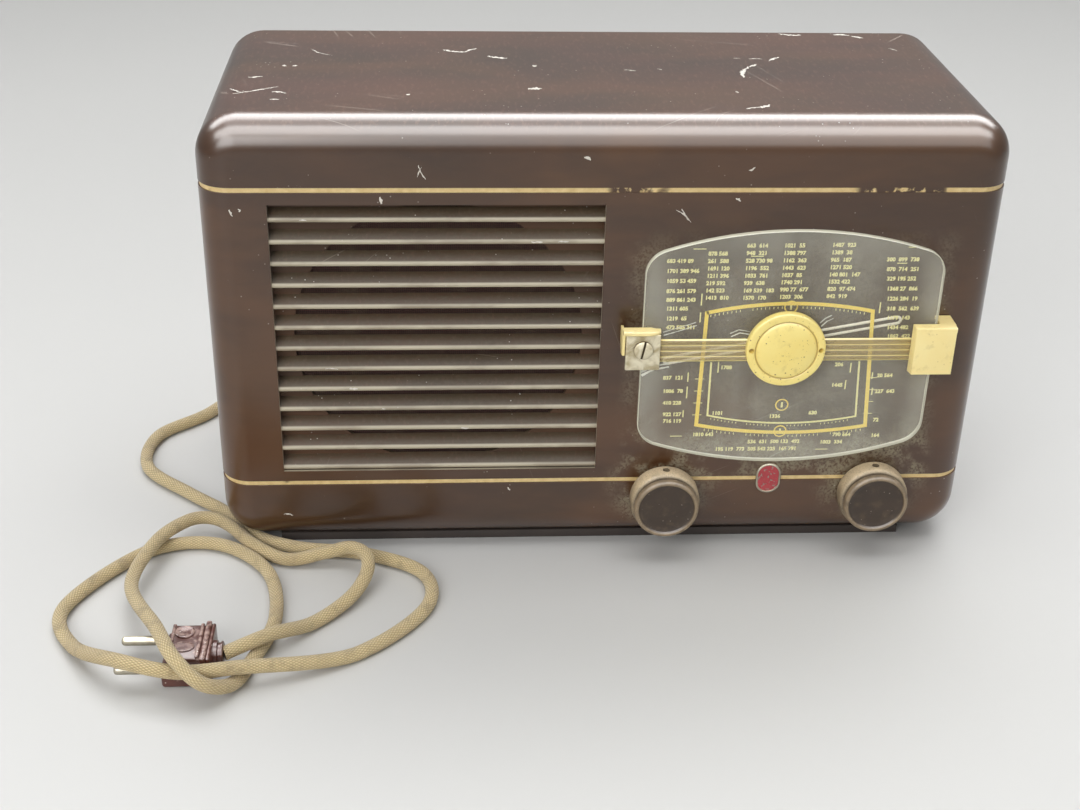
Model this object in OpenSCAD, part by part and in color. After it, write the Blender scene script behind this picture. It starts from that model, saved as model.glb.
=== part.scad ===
/* [Cabinet] */
// Width of the moulded case
cab_w = 340; // [320:1:420]
// Height of the moulded case, without the plinth
cab_h = 201; // [190:1:250]
// Depth of the moulded case, from its face to its back edge
cab_d = 134; // [128:1:170]
// Wall thickness of the moulding
wall = 4; // [3:0.5:5]
// Radius of the case's corners, seen from the front
corner_r = 18; // [16:1:24]
// Radius of the rounded edge round the face
edge_r = 14; // [10:1:15]
// Height of the plinth under the case
plinth_h = 4; // [3:0.5:8]
// How far the plinth is set back from the face
plinth_set_back = 8; // [4:1:16]
// How far the plinth is set in from each side
plinth_inset = 25; // [15:1:40]
// Height above the table of the upper painted line
upper_line_z = 175.8; // [170:0.1:182]
// Height above the table of the lower painted line
lower_line_z = 35.9; // [33:0.1:38]
// Width of a painted line's groove
line_w = 2.3; // [1.5:0.1:3]
// Depth of a painted line's groove
line_depth = 0.6; // [0.3:0.1:1]

/* [Loudspeaker grille] */
// Distance of the grille's centre from the middle of the case
grille_x = -71; // [-80:1:-68]
// Height of the grille's lower edge above the table
grille_z0 = 42; // [40:0.5:46]
// Width of the grille
grille_w = 140; // [120:1:142]
// Height of the grille
grille_h = 127.4; // [115:0.1:130]
// Number of louvres
louvre_n = 13; // [8:1:14]
// Thickness of a louvre at its nose
louvre_t = 2; // [1.5:0.1:3]
// Depth of the pocket that the louvres stand in
louvre_depth = 7; // [5:0.5:8]
// Rise of a louvre from its nose to its root
louvre_rise = 2.6; // [1:0.1:4]
// Diameter of the round opening behind the louvres
sound_hole_d = 125; // [90:1:125]
// Diameter of the loudspeaker's frame
speaker_d = 132; // [110:1:134]
// Depth of the loudspeaker's basket
basket_depth = 34; // [28:1:40]
// Diameter of the loudspeaker's magnet
magnet_d = 60; // [40:1:64]

/* [Dial] */
// Width of the glass dial
glass_w = 128; // [110:1:132]
// Height of the glass dial at its middle
glass_h = 111.6; // [100:0.1:116]
// Height of the middle of the glass above the table
glass_z = 105; // [104:0.5:108]
// Distance of the middle of the glass from the middle of the case
glass_x = 80; // [76:0.5:84]
// Thickness of the glass
glass_t = 3; // [2:0.5:4]
// Gap between the face of the case and the glass
glass_gap = 5; // [4.5:0.5:8]
// Radius of the bowed upper and lower edges of the glass
bow_r = 179; // [150:1:260]
// Radius of the glass's corners
glass_corner_r = 12; // [6:1:16]
// Distance of the pointer's axis from the middle of the case
pivot_x = 78; // [76:0.5:82]
// Height of the pointer's axis above the table
pivot_z = 107.5; // [105:0.5:110]
// Half the length of the pointer
pointer_r = 52; // [40:1:54]
// Tilt of the pointer at rest, right end up
pointer_tilt = 10.8; // [0:0.1:30]
// Diameter of the cap in the middle of the dial
cap_d = 34.4; // [28:0.2:40]
// Height of the clear strap across the dial
strap_h = 10.6; // [8:0.2:14]

/* [Controls] */
// Distance of the volume control from the middle of the case
volume_x = 30.5; // [28:0.5:34]
// Distance of the tuning spindle from the middle of the case
tuning_x = 126.5; // [122:0.5:130]
// Height of both controls above the table
knob_z = 29.4; // [28.5:0.1:31]
// Diameter of a knob's skirt
knob_d = 31.4; // [28:0.2:34]
// Length of a knob
knob_l = 13.7; // [12:0.1:16]
// How far the volume knob stands in front of the face
knob_reach = 16.5; // [15:0.5:20]
// How much less the tuning knob stands out
tuning_set_in = 2; // [0:0.1:2.5]
// Diameter of the control shafts
shaft_d = 6; // [5:0.5:6.5]
// Diameter of the drive drum
drum_d = 72; // [60:1:76]
// Turns of the tuning knob for one turn of the drum
drive_ratio = 8; // [7:0.5:9]
// Distance of the wave switch from the middle of the case
band_x = 100; // [90:1:110]
// Diameter of the wave switch's knob
band_knob_d = 22; // [18:1:26]
// How far the wave switch's knob stands behind the case
rear_reach = 16.5; // [12:0.5:20]

/* [Chassis] */
// Width of the chassis
chassis_w = 300; // [290:1:310]
// Height of the chassis's top plate above the table
chassis_z = 47.5; // [47:0.5:52]
// Thickness of the chassis's sheet
sheet_t = 1.5; // [1:0.1:2]
// Gap between the floor of the case and the chassis
chassis_gap = 4; // [2:0.5:5]
// Diameter of the glass of a small valve
valve_d = 31; // [26:1:34]
// Height of the glass of a small valve
valve_h = 58; // [45:1:70]
// Diameter of the aerial and earth sockets' holes
socket_d = 4.1; // [4:0.1:4.2]
// Distance between the aerial and earth sockets
socket_pitch = 19; // [19:0.5:24]

/* [Mains lead] */
// Diameter of the braided lead
cord_d = 6; // [5:0.1:6.2]
// Diameter of a plug pin
pin_d = 4; // [4:0.1:4.8]
// Length of a plug pin
pin_l = 19; // [18:0.5:20]
// Distance between the plug's pins
pin_pitch = 19; // [18.5:0.1:19.5]
// Width of the plug across its pins
plug_w = 26; // [24:0.5:30]
// Thickness of the plug
plug_t = 15; // [14:0.5:15.5]

/* [Hidden] */
$fn = 64;

// Clearances: a loose fit, a running fit, and a lap that makes a cut go right through
loose = 0.2;
running = 0.05;
lap = 1;

// The model's middle lies halfway between the volume knob's face and the wave switch's
front_y = -(cab_d + rear_reach - knob_reach) / 2;
back_y = front_y + cab_d;
top_z = plinth_h + cab_h;
floor_z = plinth_h + wall;
inner_y = front_y + wall;

// Grille: the louvres' wall has the thickness grille_wall
grille_wall = 2;
grille_back_y = front_y + louvre_depth + grille_wall;
grille_cz = grille_z0 + grille_h / 2;
louvre_pitch = (grille_h - 8.6) / (louvre_n - 1);
cloth_t = 0.6;
baffle_t = 3;
baffle_margin = 5;
baffle_w = grille_w + 4 * baffle_margin;
baffle_h = grille_h + 4 * baffle_margin;
baffle_y = grille_back_y + cloth_t;
baffle_hole_d = speaker_d - 16;
post_x = grille_w / 2 + baffle_margin;
post_z = grille_h / 2 + baffle_margin;
post_r = 4.5;
speaker_y = baffle_y + baffle_t;
speaker_bolt_r = speaker_d / 2 - 4;
speaker_screw_r = 1.4;

// Dial: places in front of the face, as distances from it
glass_front = glass_gap + glass_t;
strap_t = 1;
strap_z = 105.8;
clip_x = glass_w / 2 - 0.4;
clip_w = 15;
clip_h = 17;
clip_t = 1.5;
clip_in = 1.5;
clip_z = strap_z + 1.5;
clip_post_r = 3.4;
clip_screw_r = 1.6;
clip_front = glass_front + strap_t + clip_t;
clip_cover_w = 16.5;
clip_cover_h = 22.5;
clip_cover_reach = 14;
cap_reach = 14.5;
cap_hole_r = 0.9;
cap_hole_at = 15.1;
pointer_wire_d = 1.2;
pointer_gauge = 3;
pointer_y = front_y - glass_gap / 2;
hub_r = 5;

// Drive: the cord lies in the grooves of the drum and of the spindle
drive_y = front_y + 17;
drum_t = 6;
groove_w = 2;
groove_depth = 1.5;
drive_cord_t = 0.8;
cord_lay_r = drum_d / 2 - groove_depth + 0.3 + drive_cord_t / 2;
spindle_lay_r = cord_lay_r / drive_ratio;
spindle_groove_r = spindle_lay_r - drive_cord_t / 2 - 0.3;
shaft_r = shaft_d / 2;
shaft_out = 12;
bush_r = shaft_r + 1.8;
bush_nut_r = 7;
bush_nut_t = 2;
wall_hole_r = shaft_r + 2;

// Chassis and what stands on it
chassis_front_y = front_y + 23;
chassis_back_y = back_y - 9;
chassis_bottom_z = floor_z + chassis_gap;
bolt_x = chassis_w / 2 - 10;
bolt_front_y = chassis_front_y + 14;
bolt_back_y = chassis_back_y - 13;
bolt_r = 1.95;
bolt_hole_r = bolt_r + loose;
bolt_boss_r = 6;
valve_y = back_y - 29;
valve_xs = [-125, -75, -25, 25];
base_h = 17;
base_r = valve_d / 2 - 1;
valve_socket_h = 3;
valve_base_z = chassis_z + valve_socket_h;
valve_glass_z = valve_base_z + base_h;

// Tuning capacitor
gang_front_y = front_y + 31;
gang_l = 46;
gang_w = 46;
gang_below = 23.5;
gang_above = 23.5;
gang_pitch = 5;
gang_vane_t = 0.8;
gang_n = 6;
rotor_r = 19;
rotor_bore_r = shaft_r + running;
spacer_r = shaft_r + 1;

// Rear cover and what passes through it
cover_t = 3;
cover_in = 1;
cover_y = back_y - cover_in - cover_t;
cover_fit = 0.4;
cover_screw_x = cab_w / 2 - wall - 4;
cover_screw_zs = [plinth_h + 41, top_z - 40];
cover_post_r = 5;
cover_screw_r = 1.4;
socket_z = knob_z;
panel_w = 50;
panel_h = 18;
panel_t = 2;
sleeve_r = 3.2;
sleeve_l = 15;
grommet_x = -130;
grommet_z = 24;
grommet_r = 5;
grommet_out = 3;

// Plug: the middle of its pins' roots
plug_x = -184;
plug_y = -153.5;
plug_z = plug_t / 2;
plug_body_l = 16;
plug_flange_l = 4;
plug_neck_l = 4;
cord_r = cord_d / 2;

// The lead's route, from the case's back along the table to the plug's neck
cord_route = [[grommet_x, back_y + grommet_out, grommet_z], [-130, 87, 23], [-138, 101, 12], [-153, 102, 4],
    [-175, 87, 3], [-194, 57, 3], [-216, 34, 3], [-216, 3, 3], [-192, -22, 3], [-173, -39, 3],
    [-158.5, -58.5, 3], [-136, -70, 3], [-105, -76, 3], [-79, -92, 3], [-78, -119, 3], [-107, -150, 3],
    [-152, -166.5, 10.5], [-176, -171.5, 12.5], [-200, -165, 13.6], [-224, -142, 4], [-233, -113, 3],
    [-205, -72, 3], [-174, -66, 3], [-149, -88, 3], [-142, -124, 3], [-150, -156, 3], [-156, -171, 5],
    [-166, -178, 12], [-177, -171, 19.5], [-187, -150, 18.5], [-205, -108, 10], [-200, -75, 10],
    [-189, -56, 9], [-178.5, -51.5, 8], [-168.5, -56.5, 6.5], [-157, -69, 4.5], [-141, -79.5, 3.2],
    [-124, -80.5, 7], [-112, -81.5, 10.5], [-104.5, -88.5, 11], [-104, -99.5, 8.5], [-111, -113, 5],
    [-126, -128.5, 3.5], [-142, -144, 9.7],
    [plug_x + plug_body_l + plug_flange_l + plug_neck_l, plug_y, plug_z]];

// A solid that points along +Y, drawn along +Z
module along_y() {
    rotate([-90, 0, 0]) children();
}

// A round bar along Y from y0 to y1
module bar_y(r, y0, y1) {
    translate([0, y0, 0]) along_y() cylinder(r = r, h = y1 - y0);
}

// A plate in the plane of the face, from y0 to y1, drawn in X and Z
module plate_y(y0, y1) {
    translate([0, y1, 0]) rotate([90, 0, 0]) linear_extrude(y1 - y0) children();
}

// A rectangle with two rounded front corners, its front on the X axis
module front_round(l, d, r) {
    translate([-l / 2, r]) square([l, d - r]);
    translate([-l / 2 + r, 0]) square([l - 2 * r, d]);
    for (side = [-1, 1]) translate([side * (l / 2 - r), r]) circle(r);
}

// A rectangle with four rounded corners, centred
module round_rect(w, h, r) {
    square([w, h - 2 * r], center = true);
    square([w - 2 * r, h], center = true);
    for (sx = [-1, 1], sz = [-1, 1]) translate([sx * (w / 2 - r), sz * (h / 2 - r)]) circle(r);
}

// The profile that is turned to make a rounded corner of the case
module corner_profile(d, cr, er) {
    translate([0, er]) square([cr, d - er]);
    square([cr - er, d]);
    translate([cr - er, er]) intersection() {
        circle(er);
        translate([0, -er]) square([er, 2 * er]);
    }
}

// A case-shaped block: corners of radius cr, and an edge of radius er round its front at y = 0
module case_block(w, h, d, cr, er) {
    for (sx = [-1, 1], z = [cr, h - cr])
        translate([sx * (w / 2 - cr), 0, z]) along_y() rotate_extrude() corner_profile(d, cr, er);
    translate([-(w / 2 - cr), 0, h / 2]) rotate([90, 0, 90])
        linear_extrude(w - 2 * cr) mirror([1, -1, 0]) front_round(h, d, er);
    translate([0, 0, cr]) linear_extrude(h - 2 * cr) front_round(w, d, er);
}

// One painted line's groove round the face and the sides
module line_groove(z) {
    translate([0, front_y, z - line_w / 2]) linear_extrude(line_w) difference() {
        translate([0, -lap]) front_round(cab_w + 2 * lap, cab_d + 2 * lap, edge_r + lap);
        translate([0, line_depth]) front_round(cab_w - 2 * line_depth, cab_d + 2 * lap, edge_r - line_depth);
    }
}

// The louvres, from their noses at the face to the wall behind them
module louvres() {
    nose_y = front_y + 0.8;
    root_y = front_y + louvre_depth + lap;
    for (i = [0 : louvre_n - 1])
        translate([grille_x - grille_w / 2 - lap, 0, grille_z0 + 0.6 + i * louvre_pitch])
            rotate([90, 0, 90]) linear_extrude(grille_w + 2 * lap)
                polygon([[nose_y, 0], [nose_y, louvre_t], [root_y, louvre_t + louvre_rise],
                    [root_y, louvre_rise]]);
}

module cabinet() {
    color("#4a3a30") difference() {
        union() {
            difference() {
                translate([0, front_y, plinth_h]) case_block(cab_w, cab_h, cab_d, corner_r, edge_r);
                translate([0, inner_y, floor_z])
                    case_block(cab_w - 2 * wall, cab_h - 2 * wall, cab_d, corner_r - wall, edge_r - wall);
            }
            // Wall behind the louvres, which also seats the baffle board
            translate([grille_x, 0, grille_cz]) plate_y(inner_y - lap, grille_back_y)
                square([grille_w + 2 * baffle_margin - 4, grille_h + 2 * baffle_margin - 4], center = true);
            // Posts for the baffle board's screws
            for (sx = [-1, 1], sz = [-1, 1]) translate([grille_x + sx * post_x, 0, grille_cz + sz * post_z])
                bar_y(post_r, inner_y - lap, baffle_y);
            // Posts for the rear cover's screws
            for (sx = [-1, 1], z = cover_screw_zs) translate([sx * cover_screw_x, 0, z])
                bar_y(cover_post_r, cover_y - 15, cover_y);
            // Bosses under the chassis
            for (sx = [-1, 1], y = [bolt_front_y, bolt_back_y]) translate([sx * bolt_x, y, floor_z - lap])
                cylinder(r = bolt_boss_r, h = chassis_gap + lap);
        }
        difference() {
            translate([grille_x, 0, grille_cz]) plate_y(front_y - lap, front_y + louvre_depth)
                square([grille_w, grille_h], center = true);
            louvres();
        }
        translate([grille_x, 0, grille_cz])
            bar_y(sound_hole_d / 2, front_y + louvre_depth - 0.01, grille_back_y + lap);
        line_groove(upper_line_z);
        line_groove(lower_line_z);
        for (x = [volume_x, tuning_x]) translate([x, 0, knob_z])
            bar_y(wall_hole_r, front_y - lap, inner_y + lap);
        translate([pivot_x, 0, pivot_z]) bar_y(wall_hole_r, front_y - lap, inner_y + lap);
        for (sx = [-1, 1]) translate([glass_x + sx * clip_x, 0, clip_z])
            bar_y(clip_screw_r + running, front_y - lap, inner_y + lap);
        for (sx = [-1, 1], sz = [-1, 1]) translate([grille_x + sx * post_x, 0, grille_cz + sz * post_z])
            bar_y(speaker_screw_r + running, baffle_y - 7, baffle_y + lap);
        for (sx = [-1, 1], z = cover_screw_zs) translate([sx * cover_screw_x, 0, z])
            bar_y(cover_screw_r + running, cover_y - 12, cover_y + lap);
        for (sx = [-1, 1], y = [bolt_front_y, bolt_back_y]) translate([sx * bolt_x, y, plinth_h - lap])
            cylinder(r = bolt_hole_r, h = wall + chassis_gap + 2 * lap);
    }
}

module base_plinth() {
    color("#2b211b") difference() {
        translate([-(cab_w / 2 - plinth_inset), front_y + plinth_set_back, 0])
            cube([cab_w - 2 * plinth_inset, cab_d - 2 * plinth_set_back, plinth_h]);
        for (sx = [-1, 1], y = [bolt_front_y, bolt_back_y]) translate([sx * bolt_x, y, -lap])
            cylinder(r = 6, h = plinth_h + 2 * lap);
    }
}

// Rows of upright slots in the rear cover, each row set by its middle
module vent_row(x, z, n, pitch, h) {
    for (i = [0 : n - 1]) translate([x + (i - (n - 1) / 2) * pitch, z]) {
        square([4, h], center = true);
        for (sz = [-1, 1]) translate([0, sz * h / 2]) circle(2);
    }
}

module rear_cover() {
    color("#6b5238") plate_y(cover_y, cover_y + cover_t) difference() {
        translate([0, plinth_h + cab_h / 2])
            round_rect(cab_w - 2 * wall - 2 * cover_fit, cab_h - 2 * wall - 2 * cover_fit,
                corner_r - wall - cover_fit);
        vent_row(0, top_z - 38, 20, 12, 16);
        vent_row(0, top_z - 72, 20, 12, 16);
        vent_row(0, plinth_h + 66, 20, 12, 16);
        for (sx = [-1, 1], z = cover_screw_zs) translate([sx * cover_screw_x, z])
            circle(cover_screw_r + loose);
        translate([0, socket_z]) square([socket_pitch + 16, 14], center = true);
        translate([band_x, knob_z]) circle(shaft_r + 4.5);
        translate([grommet_x, grommet_z]) circle(grommet_r + running);
    }
}

module rear_cover_screws() {
    color("#8a8378") for (sx = [-1, 1], z = cover_screw_zs) translate([sx * cover_screw_x, 0, z])
        difference() {
            union() {
                bar_y(cover_screw_r, cover_y - 10, cover_y + cover_t);
                bar_y(3, cover_y + cover_t, cover_y + cover_t + 1.6);
            }
            translate([-4, cover_y + cover_t + 0.8, -0.4]) cube([8, 2, 0.8]);
        }
}

module grille_cloth() {
    color("#3a1612") translate([grille_x, 0, grille_cz]) plate_y(grille_back_y, baffle_y)
        square([grille_w, grille_h], center = true);
}

module baffle_board() {
    color("#8a6a45") translate([grille_x, 0, grille_cz]) plate_y(baffle_y, baffle_y + baffle_t) difference() {
        square([baffle_w, baffle_h], center = true);
        circle(baffle_hole_d / 2);
        for (sx = [-1, 1], sz = [-1, 1]) translate([sx * post_x, sz * post_z]) circle(speaker_screw_r + loose);
        for (a = [45 : 90 : 315]) rotate(a) translate([speaker_bolt_r, 0]) circle(speaker_screw_r + loose);
    }
}

module badge() {
    badge_w = 11.4;
    badge_h = 15.4;
    color("#7a2a24") translate([pivot_x + 0.7, 0, lower_line_z + 0.3]) plate_y(front_y - 1.2, front_y)
        union() {
            square([badge_w, badge_h - badge_w], center = true);
            for (sz = [-1, 1]) translate([0, sz * (badge_h - badge_w) / 2]) circle(badge_w / 2);
        }
}

// The glass's outline: two long bows and two upright sides, with rounded corners
module glass_outline() {
    offset(r = glass_corner_r) offset(delta = -glass_corner_r) intersection() {
        square([glass_w, glass_h + 2], center = true);
        translate([0, glass_h / 2 - bow_r]) circle(bow_r, $fn = 240);
        translate([0, bow_r - glass_h / 2]) circle(bow_r, $fn = 240);
    }
}

module dial_glass() {
    color("#9aa89a") translate([glass_x, 0, glass_z])
        plate_y(front_y - glass_front, front_y - glass_gap) difference() {
            glass_outline();
            for (sx = [-1, 1]) translate([sx * clip_x, clip_z - glass_z]) circle(clip_post_r + loose);
        }
}

module dial_strap() {
    strap_l = 2 * (clip_x - clip_post_r - 0.5);
    color("#c8a860") translate([glass_x - strap_l / 2, front_y - glass_front - strap_t, strap_z - strap_h / 2])
        cube([strap_l, strap_t, strap_h]);
}

module dial_cap() {
    cap_r = cap_d / 2;
    depth = cap_reach - glass_front - strap_t;
    dome_r = 50;
    color("#ead486") translate([pivot_x, front_y - glass_front - strap_t, pivot_z]) difference() {
        rotate([90, 0, 0]) rotate_extrude() intersection() {
            union() {
                square([cap_r, depth - 1.8]);
                square([cap_r * 0.8, depth - 1.2]);
                translate([0, depth - dome_r]) circle(dome_r, $fn = 360);
            }
            union() {
                square([cap_r, depth - 1.8]);
                square([cap_r * 0.77, depth]);
            }
        }
        for (sx = [-1, 1]) translate([sx * cap_hole_at, 0, 0]) bar_y(cap_hole_r, -depth - lap, -depth + 3);
    }
}

// A metal clip: a foot on the face, a post past the glass's edge and a plate over it
module dial_clip(side) {
    color("#b8b2a0") translate([glass_x + side * clip_x, front_y, clip_z]) difference() {
        union() {
            bar_y(clip_post_r, -clip_front, 0);
            translate([-clip_w / 2 - max(0, side) * clip_in, -clip_front, -clip_h / 2 - 1.5])
                cube([clip_w, clip_t, clip_h]);
        }
        bar_y(clip_screw_r + loose, -clip_front - lap, lap);
    }
}

module left_clip() {
    dial_clip(-1);
}

module right_clip() {
    dial_clip(1);
}

module clip_screws() {
    color("#cfc9b4") for (sx = [-1, 1]) translate([glass_x + sx * clip_x, front_y, clip_z]) difference() {
        union() {
            bar_y(clip_screw_r, -clip_front, wall - 0.5);
            bar_y(4.2, -clip_front - 1.6, -clip_front);
        }
        rotate([0, 35, 0]) translate([-5, -clip_front - 2, -0.5]) cube([10, 1.2, 1]);
    }
}

// What is left of the left clip's moulded cover: its top ledge and its outer side
module broken_clip_cover() {
    ledge_z = clip_z + clip_h / 2 - 1.5 + 0.2;
    outer_x = glass_x - clip_x - clip_w / 2 - 1.6;
    color("#efe2b0") {
        translate([outer_x, front_y - clip_cover_reach + 1, ledge_z])
            cube([clip_cover_w, clip_cover_reach - 1 - glass_front, 2.4]);
        translate([outer_x, front_y - clip_front, clip_z - clip_h / 2 + 4])
            cube([1.4, clip_front - 1, clip_h / 2 + ledge_z - clip_z - 4]);
    }
}

// The right clip's cover: a box over the clip, with a lip outside the glass's edge
module clip_cover() {
    skin = 1.4;
    mid_x = glass_x + clip_x - 1.4;
    right_x = mid_x + clip_cover_w / 2;
    mid_z = clip_z - 0.4;
    rear_y = front_y - glass_front - strap_t - 0.2;
    front = front_y - clip_cover_reach;
    color("#fde6a0") difference() {
        union() {
            translate([0, 0, mid_z]) plate_y(front, rear_y) translate([mid_x, 0])
                round_rect(clip_cover_w + 2, clip_cover_h, 1.6);
            translate([glass_x + glass_w / 2 + 0.6, front_y - glass_front - 2, mid_z - clip_cover_h / 2])
                cube([right_x + 1 - glass_x - glass_w / 2 - 0.6, glass_front + 1.5, clip_cover_h]);
        }
        translate([mid_x - clip_cover_w / 2, front + skin, mid_z - clip_cover_h / 2 + skin])
            cube([clip_cover_w, 40, clip_cover_h - 2 * skin]);
    }
}

// The pointer: a closed loop of wire on each side of its hub
module pointer() {
    half = pointer_gauge / 2;
    wire_r = pointer_wire_d / 2;
    arm = pointer_r - half;
    color("#e6dcb0") translate([pivot_x, pointer_y, pivot_z]) rotate([0, -pointer_tilt, 0]) difference() {
        union() {
            bar_y(hub_r, -1.5, 1.5);
            for (sz = [-1, 1]) translate([-arm, 0, sz * half]) rotate([0, 90, 0]) cylinder(r = wire_r, h = 2 * arm);
            for (sx = [-1, 1]) translate([sx * arm, 0, 0]) rotate([-90, 0, 0]) intersection() {
                rotate_extrude() translate([half, 0]) circle(wire_r, $fn = 24);
                translate([sx > 0 ? 0 : -4, -4, -4]) cube([4, 8, 8]);
            }
        }
        bar_y(shaft_r + running, -2, 2);
    }
}

module rotor_shaft() {
    color("#9a9488") translate([pivot_x, 0, pivot_z]) bar_y(shaft_r, pointer_y - 1.5, gang_front_y + gang_l + 4);
}

module rotor_plates() {
    first_y = gang_front_y + 8;
    color("#c9ccd0") translate([pivot_x, 0, pivot_z]) rotate([0, -pointer_tilt, 0]) difference() {
        union() {
            bar_y(spacer_r, first_y - 1, first_y + gang_n * gang_pitch + gang_vane_t + 1);
            for (i = [0 : gang_n]) intersection() {
                bar_y(rotor_r, first_y + i * gang_pitch, first_y + i * gang_pitch + gang_vane_t);
                translate([-rotor_r, first_y - lap, -rotor_r]) cube([2 * rotor_r, gang_l, rotor_r]);
            }
        }
        bar_y(rotor_bore_r, first_y - 2, first_y + gang_n * gang_pitch + 4);
    }
}

module drive_drum() {
    drum_r = drum_d / 2;
    rim = 6;
    color("#b0a890") translate([pivot_x, drive_y, pivot_z]) difference() {
        union() {
            bar_y(9, -drum_t / 2, drum_t / 2 + 6);
            difference() {
                bar_y(drum_r, -drum_t / 2, drum_t / 2);
                difference() {
                    bar_y(drum_r + lap, -groove_w / 2, groove_w / 2);
                    bar_y(drum_r - groove_depth, -groove_w, groove_w);
                }
                difference() {
                    bar_y(drum_r - rim, -drum_t, -drum_t / 2 + 2);
                    bar_y(9, -drum_t - lap, drum_t);
                }
            }
        }
        bar_y(shaft_r + running, -drum_t, drum_t + 8);
        for (a = [0 : 90 : 270]) rotate([0, a, 0]) translate([drum_r / 2 + 2, 0, 0])
            bar_y(drum_r / 2 - 11, -drum_t, drum_t);
    }
}

// The drive cord's loop, as its outline grown by g
module cord_loop(g) {
    hull() {
        translate([pivot_x, pivot_z]) circle(cord_lay_r + g, $fn = 96);
        translate([tuning_x, knob_z]) circle(spindle_lay_r + g, $fn = 32);
    }
}

module drive_cord() {
    color("#d8cfae") plate_y(drive_y - drive_cord_t / 2, drive_y + drive_cord_t / 2) difference() {
        cord_loop(drive_cord_t / 2);
        cord_loop(-drive_cord_t / 2);
    }
}

module capacitor_frame() {
    color("#8f9296") translate([pivot_x, 0, pivot_z]) difference() {
        union() {
            for (y = [gang_front_y, gang_front_y + gang_l - sheet_t])
                translate([-gang_w / 2, y, -gang_below]) cube([gang_w, sheet_t, gang_below + gang_above]);
            translate([-gang_w / 2, gang_front_y, -gang_below]) cube([gang_w, gang_l, sheet_t]);
        }
        bar_y(shaft_r + running, gang_front_y - lap, gang_front_y + gang_l + lap);
    }
}

module stator_plates() {
    first_y = gang_front_y + 8 + gang_pitch / 2;
    rod_x = 17;
    rod_z = 16;
    color("#d5d8da") translate([pivot_x, 0, pivot_z]) {
        for (i = [0 : gang_n - 1]) translate([-rotor_r, first_y + i * gang_pitch, spacer_r + 1])
            cube([2 * rotor_r, gang_vane_t, rotor_r - spacer_r + 1]);
        for (sx = [-1, 1]) translate([sx * rod_x, 0, rod_z])
            bar_y(1.5, gang_front_y + sheet_t, gang_front_y + gang_l - sheet_t);
    }
}

module capacitor_bracket() {
    top = pivot_z - gang_below;
    color("#8f9296") {
        translate([pivot_x - gang_w / 2, gang_front_y, top - sheet_t]) cube([gang_w, gang_l, sheet_t]);
        for (x = [pivot_x - gang_w / 2, pivot_x + gang_w / 2 - sheet_t])
            translate([x, gang_front_y, chassis_z]) cube([sheet_t, gang_l, top - chassis_z]);
    }
}

module tuning_spindle() {
    color("#9a9488") translate([tuning_x, 0, knob_z]) {
        bar_y(shaft_r, front_y - shaft_out + tuning_set_in, drive_y - 3);
        bar_y(shaft_r + 2, drive_y - 3, drive_y - groove_w / 2);
        bar_y(spindle_groove_r, drive_y - groove_w / 2, drive_y + groove_w / 2);
        bar_y(shaft_r + 2, drive_y + groove_w / 2, drive_y + 3);
        bar_y(shaft_r, drive_y + 3, chassis_front_y + 9);
    }
}

// A threaded bush in the chassis's apron, with a nut on each side
module apron_bush() {
    bar_y(bush_nut_r, -bush_nut_t, 0);
    bar_y(bush_r, -bush_nut_t, sheet_t + bush_nut_t + 1);
    bar_y(bush_nut_r, sheet_t, sheet_t + bush_nut_t + 1);
}

module spindle_bush() {
    color("#b59a5a") translate([tuning_x, chassis_front_y, knob_z]) difference() {
        apron_bush();
        bar_y(shaft_r + running, -bush_nut_t - lap, sheet_t + bush_nut_t + 2 * lap);
    }
}

// A knob, from its skirt at y = 0 to its face at y = -knob_l
module knob() {
    r = knob_d / 2;
    ring_r = r - 1.1;
    color("#4b3a2e") difference() {
        rotate([90, 0, 0]) rotate_extrude() union() {
            square([r - 1.5, 9]);
            translate([0, 1.5]) square([r, 6]);
            translate([r - 1.5, 1.5]) circle(1.5);
            translate([r - 1.5, 7.5]) circle(1.5);
            square([ring_r - 1.2, knob_l - 1.2]);
            difference() {
                union() {
                    translate([0, 10]) square([ring_r, knob_l - 11.2]);
                    square([ring_r - 1.2, knob_l]);
                    translate([ring_r - 1.2, knob_l - 1.2]) circle(1.2);
                }
                translate([-lap, knob_l - 1.2]) square([ring_r - 2.2 + lap, 3]);
            }
        }
        bar_y(shaft_r + 0.02, -knob_l + 3, lap);
        translate([0, -4.5, 0]) cylinder(r = 1.5 + running, h = r + lap);
    }
}

// A grub screw that holds a knob on its shaft
module grub_screw() {
    color("#77716a") translate([0, -4.5, shaft_r + 0.05]) cylinder(r = 1.5, h = 6);
}

module tuning_knob() {
    translate([tuning_x, front_y - knob_reach + tuning_set_in + knob_l, knob_z]) knob();
}

module tuning_grub_screw() {
    translate([tuning_x, front_y - knob_reach + tuning_set_in + knob_l, knob_z]) grub_screw();
}

module volume_knob() {
    translate([volume_x, front_y - knob_reach + knob_l, knob_z]) knob();
}

module volume_grub_screw() {
    translate([volume_x, front_y - knob_reach + knob_l, knob_z]) grub_screw();
}

module volume_shaft() {
    color("#9a9488") translate([volume_x, 0, knob_z])
        bar_y(shaft_r, front_y - shaft_out, chassis_front_y + sheet_t + 6);
}

module volume_control() {
    can_l = 12;
    color("#a5a49c") translate([volume_x, chassis_front_y, knob_z]) difference() {
        union() {
            bar_y(bush_nut_r, -bush_nut_t, 0);
            bar_y(bush_r, -bush_nut_t, sheet_t + lap);
            bar_y(16, sheet_t, sheet_t + can_l);
        }
        bar_y(shaft_r + running, -bush_nut_t - lap, sheet_t + 6.5);
    }
}

module mains_switch() {
    color("#2f2622") translate([volume_x, chassis_front_y + sheet_t + 12, knob_z]) {
        bar_y(13, 0, 11);
        for (sx = [-1, 1]) translate([sx * 6 - 1, 11, -3]) cube([2, 5, 6]);
    }
}

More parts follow.
